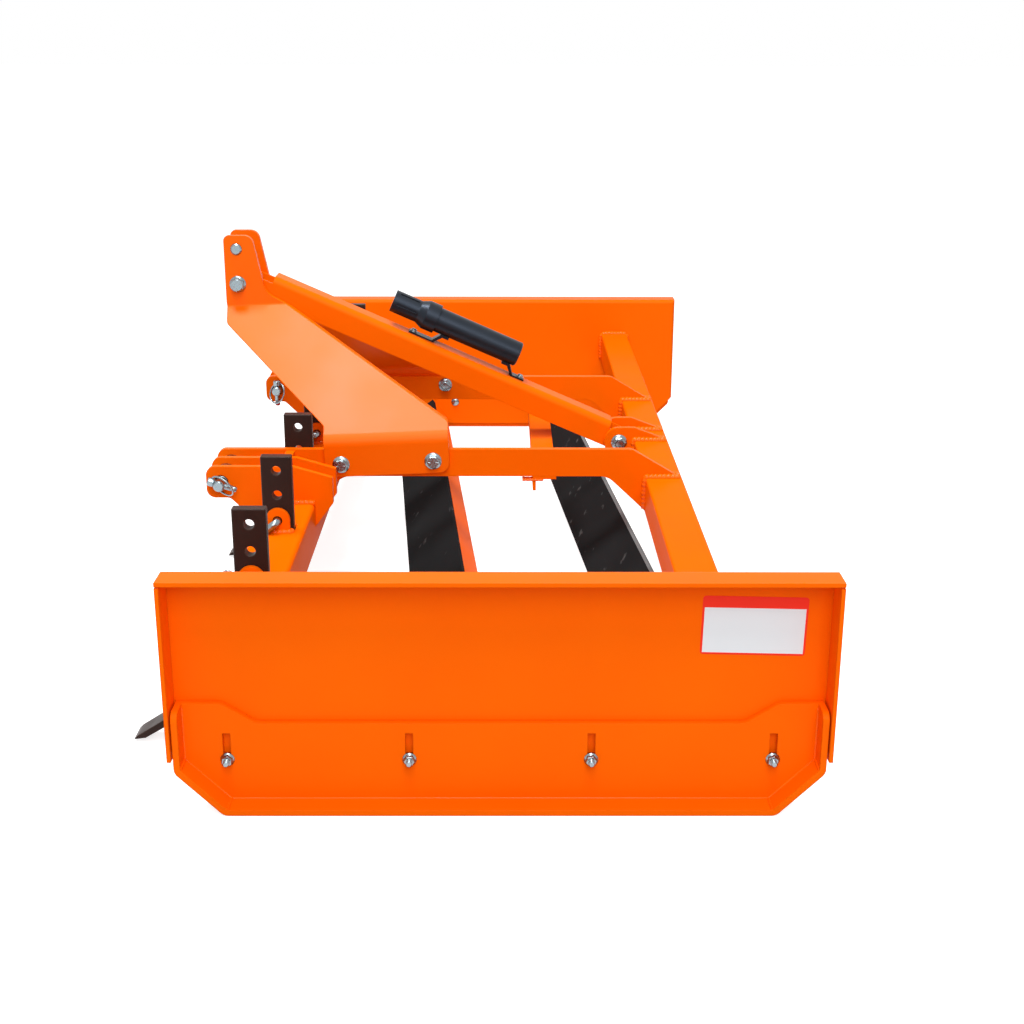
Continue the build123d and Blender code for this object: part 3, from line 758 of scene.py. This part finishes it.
@dataclass(frozen=True)
class Fastener:
    """One side of a bolt: a nut, hex head or dome on a flange, with the stud's end or the grade's strokes."""

    kind: FastenerKind
    across_flats: float = 19.0
    height: float = 10.0
    washer: float = 24.0
    washer_thickness: float = 2.5
    stud: float = 12.0
    stud_length: float = 17.0
    pitch: float = 1.75
    flange_rise: float = 1.6
    strokes: int = 6

    def draft(self, axis: Vector) -> Mesh:
        """Builds the fastener at the origin.

        Args:
            axis: The way that it stands out of its plate.

        Returns:
            Its mesh.
        """
        faces, origin = MeshDraft(), Vector()
        rim = self.washer / 2
        if self.kind is FastenerKind.DOME:
            dome = [(rim * math.cos(a), 1.0 + self.height * math.sin(a)) for a in (0.0, 0.4, 0.8, 1.15)]
            faces.turn(origin, axis, [(0, -SUNK), (rim, -SUNK), *dome, (0, 1.0 + self.height)], 28)
            return faces.mesh("dome")
        corner = self.across_flats / math.sqrt(3)
        base = self.washer_thickness
        crown = base + self.flange_rise
        cone = [(rim, base - 0.8), (rim - 0.7, base), (corner - 1.0, crown), (0, crown)]
        faces.turn(origin, axis, [(0, -SUNK), (rim, -SUNK), *cone], 36)
        top = base + self.height
        hexagon = [(0, base - 0.2), (corner, base - 0.2), (corner, top - 1.6), (corner * 0.84, top), (0, top)]
        faces.turn(origin, axis, hexagon, 6)
        if self.kind is FastenerKind.NUT:
            faces.turn(origin, axis, self.thread(top), 24)
        elif self.kind is FastenerKind.LOCKNUT:
            outer, hole = corner * 0.8, self.stud / 2 + 1.4
            collar = [(0, top - 0.5), (outer, top - 0.5), (outer, top + 2.2), (outer - 1.4, top + 3.4)]
            faces.turn(origin, axis, [*collar, (hole, top + 3.4), (hole, top + 0.6), (0, top + 0.6)], 28)
            stud = hole - 2.0
            faces.turn(origin, axis, [(0, top), (stud, top), (stud, top + 1.8), (0, top + 2.6)], 20)
        elif self.kind is FastenerKind.HEAD:
            self.mark(faces, axis, top)
        return faces.mesh(self.kind.value)

    def mark(self, faces: MeshDraft, axis: Vector, top: float) -> None:
        """Adds a head's raised round face and the plain radial strokes of its grade.

        Args:
            faces: The draft that gets them.
            axis: The way that the head stands out.
            top: The height of its flat face.
        """
        reach = self.across_flats / 2
        face = [(0, top - SUNK), (reach * 0.94, top - SUNK), (reach * 0.9, top + 0.5), (0, top + 0.5)]
        faces.turn(Vector(), axis, face, 28)
        low = axis * ((top + 0.3) * MM)
        for number in range(self.strokes):
            angle = 2 * math.pi * number / self.strokes
            out = Vector((math.cos(angle), 0.0, math.sin(angle)))
            aside = axis.cross(out) * (0.6 * MM)
            near, far = low + out * (reach * 0.4 * MM), low + out * (reach * 0.82 * MM)
            faces.slab([near - aside, far - aside, far + aside, near + aside], axis * (0.8 * MM))

    def thread(self, top: float) -> Profile:
        """Gives the threaded end's profile above the nut.

        Args:
            top: Where the nut ends.

        Returns:
            Radius and distance along the axis.
        """
        outer, end = self.stud / 2, self.stud_length
        profile: Profile = [(0.0, top - 1.0), (outer, top - 1.0)]
        at = top
        while at < end - self.pitch:
            profile += [(outer, at), (outer - 0.6, at + self.pitch / 2)]
            at += self.pitch
        return [*profile, (outer, at), (outer - 1.2, end), (0.0, end)]


@dataclass
class Finishes:
    """Every material that the machine wears."""

    coat: Material
    gloss_coat: Material
    inner_coat: Material
    bead: Material
    shank: Material
    blade: Material
    plastic: Material
    zinc: Material
    tip: Material
    label: Material
    gloss_nodes: tuple[str, ...] = ("a_frame_left", "a_frame_right")
    inner_nodes: tuple[str, ...] = (
        "front_tube", "rear_tube", "cross_angle", "front_blade_angle", "rear_blade_angle",
    )

    @classmethod
    def build(cls) -> "Finishes":
        """Builds them all.

        Returns:
            The materials.
        """
        finishes = (
            PowderCoat(),
            PowderCoat("glossy_powder_coat", gloss_level=0.105),
            PowderCoat("inner_powder_coat", gloss_level=0.004),
            PowderCoat(
                "painted_weld_bead",
                roughness=(0.21, 0.31),
                grain_mm=9.0,
                grain_height_mm=0.15,
                edge_mm=1.0,
                gloss_level=0.15,
            ),
            ShankPaint(),
            BladeSteel(),
            MouldedPlastic(),
            ZincPlate(),
            DippedTip(),
            VinylLabel(),
        )
        return cls(*(finish.build() for finish in finishes))

    def dress_nodes(self) -> None:
        """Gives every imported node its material."""
        by_slot = {
            Slot.ORANGE.value: self.coat,
            Slot.BLACK.value: self.shank,
            Slot.BLADE.value: self.blade,
            Slot.PLASTIC.value: self.plastic,
        }
        by_node = dict.fromkeys(self.gloss_nodes, self.gloss_coat)
        by_node.update(dict.fromkeys(self.inner_nodes, self.inner_coat))
        for row in frame["record"]["subparts"]:
            node, slot = row["node"], row["material_slot"]
            mesh = frame["nodes"][node].data
            mesh.materials.clear()
            mesh.materials.append(by_node.get(node, by_slot[slot]))
            LOG.info("%s wears %s", node, slot)


@dataclass
class BoltWork:
    """Bolts of the skid shoes, the A-frame's feet and the brace."""

    finishes: Finishes
    shoe_places: tuple[float, ...] = (-337.5, -112.5, 112.5, 337.5)
    shoe_height: float = 62.0
    foot_places: tuple[Pair, ...] = ((257.4, 252.4), (109.6, 258.6))
    foot_face: float = 275.7
    mast_face: float = 40.0
    brace_front_z: float = 503.0
    brace_rear: Pair = (-207.0, 225.0)
    brace_tilt: float = 0.4134
    strap_places: tuple[Pair, ...] = ((153.7, 414.5), (-32.1, 333.0))

    def row(self, name: str, fastener: Fastener, points: Sequence[Point], sign: int, seed: int) -> None:
        """Sets one fastener on each point.

        Args:
            name: The piece's name.
            fastener: What is set there.
            points: Places in millimetres.
            sign: 1 where it stands out to the left, -1 to the right.
            seed: Seed of the random turns.
        """
        sample = bpy.data.objects.new("sample", fastener.draft(Vector((0.0, sign, 0.0))))
        bpy.context.scene.collection.objects.link(sample)
        values = {"Fastener": sample, "Seed": seed, "Finish": self.finishes.zinc}
        mesh = FastenerShape().run([[place(*p)] for p in points], values)
        bpy.data.objects.remove(sample)
        show(name, mesh)

    def build(self) -> None:
        """Sets every bolt."""
        shoe_nut = Fastener(
            FastenerKind.NUT,
            across_flats=13.0,
            height=6.0,
            washer=17.8,
            washer_thickness=1.6,
            stud=8.0,
            stud_length=15.0,
            pitch=1.25,
        )
        dome = Fastener(FastenerKind.DOME, height=4.2, washer=19.0)
        foot_nut = Fastener(FastenerKind.LOCKNUT, height=9.0, washer=26.0, washer_thickness=2.2)
        foot_head = Fastener(FastenerKind.HEAD, height=9.0, washer=27.5, washer_thickness=2.2)
        brace_nut = Fastener(
            FastenerKind.LOCKNUT, across_flats=21.0, washer=28.0, washer_thickness=2.4, stud=14.0
        )
        brace_head = Fastener(FastenerKind.HEAD, across_flats=21.0, height=9.0, washer=28.0)
        shoes = [(x, self.shoe_height) for x in self.shoe_places]
        for side, sign in SIDES:
            for seed, name, fastener, places, face, out in (
                (3, "shoe_nuts", shoe_nut, shoes, SHOE_WEB, sign),
                (4, "shoe_bolt_heads", dome, shoes, PANEL_INNER, -sign),
                (5, "foot_bolt_heads", foot_head, self.foot_places, self.foot_face, sign),
                (6, "foot_nuts", foot_nut, self.foot_places, BAR_FACES[0], -sign),
            ):
                self.row(f"{name}_{side}", fastener, [(x, sign * face, z) for x, z in places], out, seed)
        front = (MAST_X, self.brace_front_z)
        for seed, name, fastener, (x, z), out in (
            (7, "brace_front_head", brace_head, front, 1),
            (8, "brace_front_nut", brace_nut, front, -1),
            (9, "brace_rear_nut", brace_nut, self.brace_rear, 1),
            (10, "brace_rear_head", brace_head, self.brace_rear, -1),
        ):
            self.row(name, fastener, [(x, out * self.mast_face, z)], out, seed)
        self.strap_screws()

    def strap_screws(self) -> None:
        """Turns the pan-head screws that hold the canister's straps on the brace."""
        draft = MeshDraft()
        out = Vector((-math.sin(self.brace_tilt), 0.0, math.cos(self.brace_tilt)))
        washer = [(0, -0.4), (7.0, -0.4), (7.0, 1.0), (5.2, 1.2)]
        head = [(5.0, 3.2), (3.6, 4.8), (1.6, 5.2), (1.4, 4.0), (0, 4.0)]
        for x, z in self.strap_places:
            draft.turn(place(x, 0.0, z), out, washer + head, 24)
        show("strap_screws", draft.mesh("strap_screws"), self.finishes.zinc)


@dataclass
class HitchPins:
    """Lower hitch pins with their bushings and lynch pins, and the top link pin."""

    finishes: Finishes
    wire: WireShape
    pin_x: float = 434.0
    pin_z: float = 250.0
    pin_radius: float = 11.0
    head_length: float = 7.0
    head_out: float = 8.0
    end_radius: float = 8.5
    end_length: float = 24.0
    end_out: float = 25.0
    top_ends: Pair = (-49.0, 43.0)
    top_radius: float = 9.5
    top_z: float = 562.0
    bushing_radius: float = 16.5
    bushing_cut: float = 0.8
    bore_play: float = 0.1
    clevis_gaps: tuple[Pair, ...] = ((266.2, 305.2), (316.2, 355.2))
    lynch_out: float = 13.0
    lynch_slant: float = 0.31
    tip_start: float = 23.0
    ring_wire: float = 2.8
    ring_points: int = 16
    ring_radius: float = 19.5
    ring_lean: float = -0.78
    ring_turn: float = 0.49
    ring_shift: float = 5.0
    ring_out: float = 2.0

    def pin(self, name: str, ends: Pair, radius: float, spot: Pair, end_length: float) -> None:
        """Turns one pin with a flat head and a chamfered end, thinner over its last part.

        Args:
            name: The piece's name.
            ends: Outer side of its head, and its plain end.
            radius: Its radius.
            spot: Its lengthwise place and its height.
            end_length: Length of its thinner end, or 0.
        """
        draft = MeshDraft()
        run = ends[1] - ends[0]
        length, head = abs(run), self.head_length
        end_radius = min(radius, self.end_radius) if end_length else radius
        cut = end_radius * 0.22
        shoulder = length - end_length
        profile = [
            (0, 0), (radius + 4, 0), (radius + 5, 1.2), (radius + 5, head - 1.0), (radius + 4, head),
            (radius, head), (radius, shoulder - 2 * cut), (end_radius, shoulder - cut),
            (end_radius, length - cut), (end_radius - cut, length), (0, length),
        ]
        draft.turn(place(spot[0], ends[0], spot[1]), Vector((0.0, run, 0.0)), profile, 40)
        show(name, draft.mesh(name), self.finishes.zinc)

    def bushings(self) -> None:
        """Turns the two bushings on each lower pin."""
        outer, bore, cut = self.bushing_radius, self.pin_radius + self.bore_play, self.bushing_cut
        for side, sign in SIDES:
            draft = MeshDraft()
            for low, high in self.clevis_gaps:
                length = high - low
                rim = [(outer - cut, 0), (outer, cut), (outer, length - cut), (outer - cut, length)]
                profile = [(bore, 0), *rim, (bore, length), (bore, 0)]
                draft.turn(place(self.pin_x, sign * low, self.pin_z), Vector((0.0, sign, 0.0)), profile, 36)
            show(f"hitch_bushings_{side}", draft.mesh("bushings"), self.finishes.zinc)

    def lynch_pin(self, side: str, y: float, run: Vector, dipped: bool) -> None:
        """Builds a lynch pin through a hitch pin's end, with its spring ring.

        Args:
            side: The side's name.
            y: Where it crosses the hitch pin.
            run: The way from its head to its tip.
            dipped: True where its tip is dipped in vinyl.
        """
        middle, run = place(self.pin_x, y, self.pin_z), run.normalized()
        draft = MeshDraft()
        head = [(0, -19.0), (5.6, -19.0), (6.8, -17.6), (6.8, -10.0), (5.8, -8.6)]
        stem = [(4.7, -8.2), (4.7, 19.0), (3.9, 20.6), (3.9, 22.6), (4.6, 24.0), (3.4, 27.0), (0, 27.6)]
        draft.turn(middle, run, head + stem, 24)
        show(f"lynch_pin_{side}", draft.mesh("lynch_pin"), self.finishes.zinc)
        if dipped:
            tip = MeshDraft()
            drop = [(0, 0), (4.9, 0), (5.1, 3.0), (4.0, 6.0), (0, 7.4)]
            tip.turn(middle + run * (self.tip_start * MM), run, drop, 20)
            show(f"lynch_pin_tip_{side}", tip.mesh("tip"), self.finishes.tip)
        self.ring(side, middle, run)

    def ring(self, side: str, middle: Vector, run: Vector) -> None:
        """Bends the spring ring that snaps over a hitch pin's end.

        Args:
            side: The side's name.
            middle: Where the lynch pin crosses the hitch pin.
            run: The way from the lynch pin's head to its tip.
        """
        out = Vector((0.0, 1.0, 0.0))
        across = run.cross(out).normalized()
        level = Matrix.Rotation(self.ring_turn, 3, run.cross(across))
        longways, crossways = level @ run, level @ across
        flat = crossways * math.cos(self.ring_lean) + out * math.sin(self.ring_lean)
        loop = []
        for number in range(self.ring_points):
            angle = 2 * math.pi * number / self.ring_points
            round_way = flat * math.sin(angle) - longways * math.cos(angle)
            off = run * self.ring_shift + round_way * self.ring_radius + out * self.ring_out
            loop.append(tuple(middle + off * MM))
        values = {"Diameter": self.ring_wire * MM, "Finish": self.finishes.zinc}
        mesh = self.wire.run([smooth_path(loop, 4, closed=True)], values, closed=True)
        show(f"lynch_ring_{side}", mesh)

    def build(self) -> None:
        """Builds all three pins."""
        inner, outer, spot = BAR_FACES[0], HITCH_OUTER, (self.pin_x, self.pin_z)
        left = (inner - self.head_out, outer + self.end_out)
        right = (-outer - self.head_out, -inner + self.end_out)
        self.pin("hitch_pin_left", left, self.pin_radius, spot, self.end_length)
        self.pin("hitch_pin_right", right, self.pin_radius, spot, self.end_length)
        self.pin("top_link_pin", self.top_ends, self.top_radius, (MAST_X, self.top_z), 0.0)
        self.bushings()
        slant = Vector((-math.cos(self.lynch_slant), 0.0, -math.sin(self.lynch_slant)))
        self.lynch_pin("left", outer + self.lynch_out, slant, False)
        self.lynch_pin("right", self.lynch_out - inner, Vector((0.0, 0.0, -1.0)), True)


@dataclass
class ShankPins:
    """Locking pins through the ears beside each shank, with a bent handle and a spring clip."""

    finishes: Finishes
    wire: WireShape
    pin_x: float = 327.5
    pin_z: float = 234.0
    diameter: float = 12.0
    bar_reach: float = 20.7
    end_out: float = 6.0
    handle_out: float = 9.0
    handle_bend: float = 9.0
    handle_length: float = 44.0
    handle_drop: float = math.radians(38)
    handle_left: tuple[int, ...] = (-2, 0, 2)
    clip_out: float = 5.0
    clip_wire: float = 3.0
    clip_turns: tuple[float, ...] = (-0.3, 0.15, -0.2, 0.1, 2.4, -0.1, 0.1)
    clip_bends: tuple[Pair, ...] = (
        (14.0, 0.0), (4.0, 0.0), (-12.0, 0.0), (-24.0, 0.3), (-33.0, 3.0), (-35.0, 8.5), (-30.0, 12.0),
        (-23.0, 9.5), (-13.0, 8.0), (-6.0, 9.8), (0.0, 8.2), (7.0, 9.0), (12.0, 13.5),
    )

    def build(self) -> None:
        """Builds every pin and clip."""
        bars, clips = [], []
        for number, turn in zip(SHANK_NUMBERS, self.clip_turns):
            y = number * SHANK_PITCH
            out = 1 if number in self.handle_left else -1
            # the draft bar stands in for one ear of the shanks beside the middle one
            near, far = (self.bar_reach if number == side else EAR_REACH for side in (-out, out))
            clip_y = y - out * (near + self.clip_out)
            bend_y = y + out * (far + self.handle_out)
            bars.append(self.handle(clip_y - out * self.end_out, bend_y, out))
            clips.append(self.clip(clip_y, turn))
        for name, lines, diameter in (
            ("shank_pins", bars, self.diameter),
            ("shank_pin_clips", clips, self.clip_wire),
        ):
            show(name, self.wire.run(lines, {"Diameter": diameter * MM, "Finish": self.finishes.zinc}))

    def handle(self, start_y: float, bend_y: float, out: int) -> list[Vector]:
        """Gives a pin's line from its plain end to the tip of its bent handle.

        Args:
            start_y: Its plain end.
            bend_y: Where the handle turns off.
            out: 1 where the handle is on the left, -1 on the right.

        Returns:
            The line's points.
        """
        bend = self.handle_bend
        line = [(0.0, start_y), (0.0, bend_y - out * bend)]
        for share in (0.25, 0.5, 0.75, 1.0):
            a = share * math.pi / 2
            line.append((bend * (1 - math.cos(a)), bend_y - out * bend * (1 - math.sin(a))))
        line.append((self.handle_length, bend_y))
        ahead, down = math.cos(self.handle_drop), math.sin(self.handle_drop)
        return [place(self.pin_x + run * ahead, y, self.pin_z - run * down) for run, y in line]

    def clip(self, y: float, turn: float) -> list[Vector]:
        """Gives a spring clip's line through the pin's cross hole.

        Args:
            y: Its place across the machine.
            turn: Its turn about the pin, in radians.

        Returns:
            The line's points.
        """
        flat = []
        for u, v in self.clip_bends:
            along = -u * math.cos(turn) - v * math.sin(turn)
            up = -u * math.sin(turn) + v * math.cos(turn)
            flat.append((self.pin_x + along, y, self.pin_z + up))
        return [place(*p) for p in smooth_path(flat, 5)]


@dataclass
class WeldWork:
    """Painted weld beads along the joints that show."""

    finishes: Finishes
    shape: BeadShape
    width: float = 11.5
    ear_width: float = 10.5
    rear_width: float = 13.0
    angle_width: float = 4.0
    ripple: float = 7.0
    unevenness: float = 0.16
    first_seed: int = 20
    front_tube: tuple[float, ...] = (290.0, 365.0, 141.0, 216.0)
    rear_tube: tuple[float, ...] = (-293.5, -233.5, 168.0, 228.0)
    tube_corner: float = 6.0
    panel_gap: float = 3.0
    ear_ends: Pair = (308.5, 346.5)
    ear_thickness: float = 8.0
    plates: tuple[tuple[float, float, float], ...] = (
        (*BAR_FACES, 190.0), (305.7, 315.7, 150.0), (355.7, HITCH_OUTER, 150.0),
    )
    corner_gap: float = 2.0
    rear_plates: tuple[tuple[Pair, float, float], ...] = (
        ((30.0, 40.0), -290.0, 203.0), (BAR_FACES, -289.0, 176.0),
    )
    rear_step: float = 0.5
    angle_ends: Pair = (-68.0, -34.0)
    angle_top: float = 224.0

    def ear_beads(self) -> list[list[Point]]:
        """Draws the beads along both sides of each ear's foot.

        Returns:
            Each bead's points.
        """
        runs, top = [], self.front_tube[3]
        back, front = self.ear_ends
        for number in SHANK_NUMBERS:
            for _, sign in SIDES:
                if number == sign:
                    continue
                outer = number * SHANK_PITCH + sign * EAR_REACH
                inner = outer - sign * self.ear_thickness
                foot = [(back, inner), (back, outer), (front, outer), (front, inner)]
                runs.append([(x, y, top) for x, y in foot])
        return runs

    def plate_beads(self) -> list[list[Point]]:
        """Draws the beads where draft bars and hitch plates meet the front tube.

        Returns:
            Each bead's points.
        """
        runs = []
        back, front, _, top = self.front_tube
        for _, sign in SIDES:
            for low, high, foot in self.plates:
                for y in (sign * low, sign * high):
                    runs.append([(back, y, top), (front, y, top)])
                    runs.append([(front, y, top - self.corner_gap), (front, y, foot)])
        return runs

    def tube_beads(self) -> list[list[Point]]:
        """Draws the beads round the ends of both cross tubes on the side panels.

        Returns:
            Each bead's points.
        """
        runs, cut = [], self.tube_corner
        for _, sign in SIDES:
            y = sign * (PANEL_INNER - self.panel_gap)
            for x0, x1, z0, z1 in (self.front_tube, self.rear_tube):
                ring = [
                    (x0, z0 + cut), (x0, z1 - cut), (x0 + cut, z1), (x1 - cut, z1), (x1, z1 - cut),
                    (x1, z0 + cut), (x1 - cut, z0), (x0 + cut, z0), (x0, z0 + cut),
                ]
                runs.append([(x, y, z) for x, z in ring])
        return runs

    def rear_beads(self) -> list[list[Point]]:
        """Draws the beads at the brace lugs and the draft bars' tails.

        Returns:
            Each bead's points.
        """
        runs = []
        _, front, _, top = self.rear_tube
        for _, sign in SIDES:
            for faces, back, foot in self.rear_plates:
                for y in (sign * face for face in faces):
                    runs.append([(back, y, top), (front - self.rear_step, y, top), (front, y, foot)])
        return runs

    def angle_beads(self) -> list[list[Point]]:
        """Draws the short beads where the draft bars sit on the cross angle."""
        faces = [sign * face for _, sign in SIDES for face in BAR_FACES]
        return [[(x, y, self.angle_top) for x in self.angle_ends] for y in faces]

    def build(self) -> None:
        """Lays every bead."""
        groups = (
            ("ear_welds", self.ear_beads(), self.ear_width),
            ("hitch_welds", self.plate_beads(), self.width),
            ("tube_welds", self.tube_beads(), self.width),
            ("rear_welds", self.rear_beads(), self.rear_width),
            ("angle_welds", self.angle_beads(), self.angle_width),
        )
        for seed, (name, runs, width) in enumerate(groups, self.first_seed):
            values = {
                "Width": width * MM,
                "Ripple": self.ripple * MM,
                "Unevenness": self.unevenness,
                "Seed": seed,
                "Finish": self.finishes.bead,
            }
            show(name, self.shape.run([[place(*p) for p in run] for run in runs], values))


@dataclass
class ShoeSeams:
    """Fine sealed seams where each skid shoe's web meets its rim, and the mitres at the rim's bends."""

    finishes: Finishes
    wire: WireShape
    diameter: float = 3.6
    rim_edge: float = 950.5
    half_pocket: float = 390.0
    chamfer: float = 54.7
    floor: float = 8.0
    rim_top: float = 132.0

    def build(self) -> None:
        """Lays the seams of both shoes."""
        bend = self.floor + self.chamfer
        front = [(self.half_pocket - self.chamfer, self.floor), (self.half_pocket, bend)]
        front.append((self.half_pocket, self.rim_top))
        rim = [(-x, z) for x, z in reversed(front)] + front
        for side, sign in SIDES:
            lines = [[place(x, sign * SHOE_WEB, z) for x, z in rim]]
            for x, z in rim[1:-1]:
                lines.append([place(x, sign * y, z) for y in (SHOE_WEB, self.rim_edge)])
            mesh = self.wire.run(lines, {"Diameter": self.diameter * MM, "Finish": self.finishes.bead})
            show(f"shoe_seams_{side}", mesh, body=f"skid_shoe_{side}")


@dataclass
class BlankLabel:
    """Blank vinyl label on the left panel's outer face."""

    finishes: Finishes
    face_y: float = 914.5
    half: Pair = (64.0, 38.0)
    corner: float = 4.0
    film: float = 0.4

    def build(self) -> None:
        """Cuts the label with rounded corners."""
        draft = MeshDraft()
        outline = []
        half_x, half_z = (half - self.corner for half in self.half)
        for side_x, side_z, first in ((1, 1, 0), (-1, 1, 90), (-1, -1, 180), (1, -1, 270)):
            for step in range(5):
                a = math.radians(first + step * 22.5)
                u = side_x * half_x + self.corner * math.cos(a)
                v = side_z * half_z + self.corner * math.sin(a)
                x = LABEL_MIDDLE[0] + u * math.cos(LABEL_TURN) - v * math.sin(LABEL_TURN)
                z = LABEL_MIDDLE[1] + u * math.sin(LABEL_TURN) + v * math.cos(LABEL_TURN)
                outline.append(place(x, self.face_y, z))
        draft.slab(outline, Vector((0.0, self.film * MM, 0.0)))
        show("blank_label", draft.mesh("label"), self.finishes.label)


@dataclass(frozen=True)
class Studio:
    """Camera at the photograph's viewpoint, a pale floor and soft lamps, in metres and watts."""

    location: Point = (-0.0499, 2.6015, 0.934)
    right: Point = (-0.999984, 0.004938, 0.002601)
    up: Point = (0.000935, -0.311193, 0.950346)
    back: Point = (0.005502, 0.950334, 0.311184)
    lens: float = 52.98
    sensor: float = 36.0
    floor_size: float = 60.0
    floor_span: Pair = (-0.004, -0.001)
    floor_colour: str = "#C4C4C4"
    floor_glow: float = 0.79
    world_strength: float = 0.36
    lamp_aim: Point = (0.0, 0.0, 0.25)
    lamps: tuple[tuple[str, Point, float, float], ...] = (
        ("overhead", (0.62, 0.02, 3.8), 0.95, 105.0),
        ("above_shoes", (0.0, 2.2, 4.2), 1.6, 75.0),
        ("front", (-0.6, 5.8, 4.2), 3.5, 202.0),
    )

    def build(self) -> None:
        """Sets up the whole studio."""
        self.camera()
        self.world()
        self.floor()
        self.hang_lamps()
        bpy.context.scene.view_settings.view_transform = "Standard"

    def camera(self) -> None:
        """Places the camera."""
        data = bpy.data.cameras.new("camera")
        data.lens, data.sensor_width = self.lens, self.sensor
        camera = bpy.data.objects.new("camera", data)
        turned = Matrix((self.right, self.up, self.back)).transposed().to_4x4()
        camera.matrix_world = Matrix.Translation(self.location) @ turned
        bpy.context.scene.collection.objects.link(camera)
        bpy.context.scene.camera = camera

    def seen(self, tree: Tree, hidden: float, shown: float) -> Link:
        """Adds a strength of its own for camera, glossy and transmission rays.

        Args:
            tree: The tree that gets it.
            hidden: The strength for all other rays.
            shown: The strength for those three.

        Returns:
            The strength.
        """
        path = add_node(tree, "ShaderNodeLightPath").outputs
        mask = path["Is Camera Ray"]
        for ray in ("Is Glossy Ray", "Is Transmission Ray"):
            mask = add_node(tree, "ShaderNodeMath", {0: mask, 1: path[ray]}, operation="MAXIMUM")
        span = {0: mask, 1: 0.0, 2: 1.0, 3: hidden, 4: shown}
        return add_node(tree, "ShaderNodeMapRange", span)

    def world(self) -> None:
        """Makes a white backdrop that lights the machine at a plain level."""
        world = bpy.data.worlds.new("studio")
        bpy.context.scene.world = world
        world.use_nodes = True
        tree = world.node_tree
        tree.nodes.clear()
        glow = {"Color": (1, 1, 1, 1), "Strength": self.seen(tree, self.world_strength, 1.0)}
        light = add_node(tree, "ShaderNodeBackground", glow)
        add_node(tree, "ShaderNodeOutputWorld", {"Surface": light})

    def floor(self) -> None:
        """Lays a pale floor that keeps the machine's shadow."""
        draft = MeshDraft()
        half, (low, high) = self.floor_size / 2, self.floor_span
        corners = [Vector((x * half, y * half, low)) for x, y in ((-1, -1), (1, -1), (1, 1), (-1, 1))]
        draft.slab(corners, Vector((0.0, 0.0, high - low)))
        material = new_material("pale_floor")
        end_material(
            material.node_tree,
            Base_Color=linear(self.floor_colour),
            Roughness=0.8,
            Emission_Color=(1, 1, 1, 1),
            Emission_Strength=self.seen(material.node_tree, 0.0, self.floor_glow),
        )
        floor = bpy.data.objects.new("floor", draft.mesh("floor"))
        floor.data.materials.append(material)
        bpy.context.scene.collection.objects.link(floor)

    def hang_lamps(self) -> None:
        """Hangs soft square lamps that face the machine's middle."""
        for name, location, size, power in self.lamps:
            data = bpy.data.lights.new(name, "AREA")
            data.size, data.energy = size, power
            lamp = bpy.data.objects.new(name, data)
            lamp.location = location
            aim = Vector(self.lamp_aim) - Vector(location)
            lamp.rotation_euler = aim.to_track_quat("-Z", "Y").to_euler()
            bpy.context.scene.collection.objects.link(lamp)


def main() -> None:
    """Builds the studio, dresses the solids and adds the hardware."""
    logging.basicConfig(level=logging.INFO, format="%(message)s")
    Studio().build()
    finishes = Finishes.build()
    finishes.dress_nodes()
    wire = WireShape()
    BoltWork(finishes).build()
    HitchPins(finishes, wire).build()
    ShankPins(finishes, wire).build()
    WeldWork(finishes, BeadShape()).build()
    ShoeSeams(finishes, wire).build()
    BlankLabel(finishes).build()


if __name__ == "__main__":
    main()
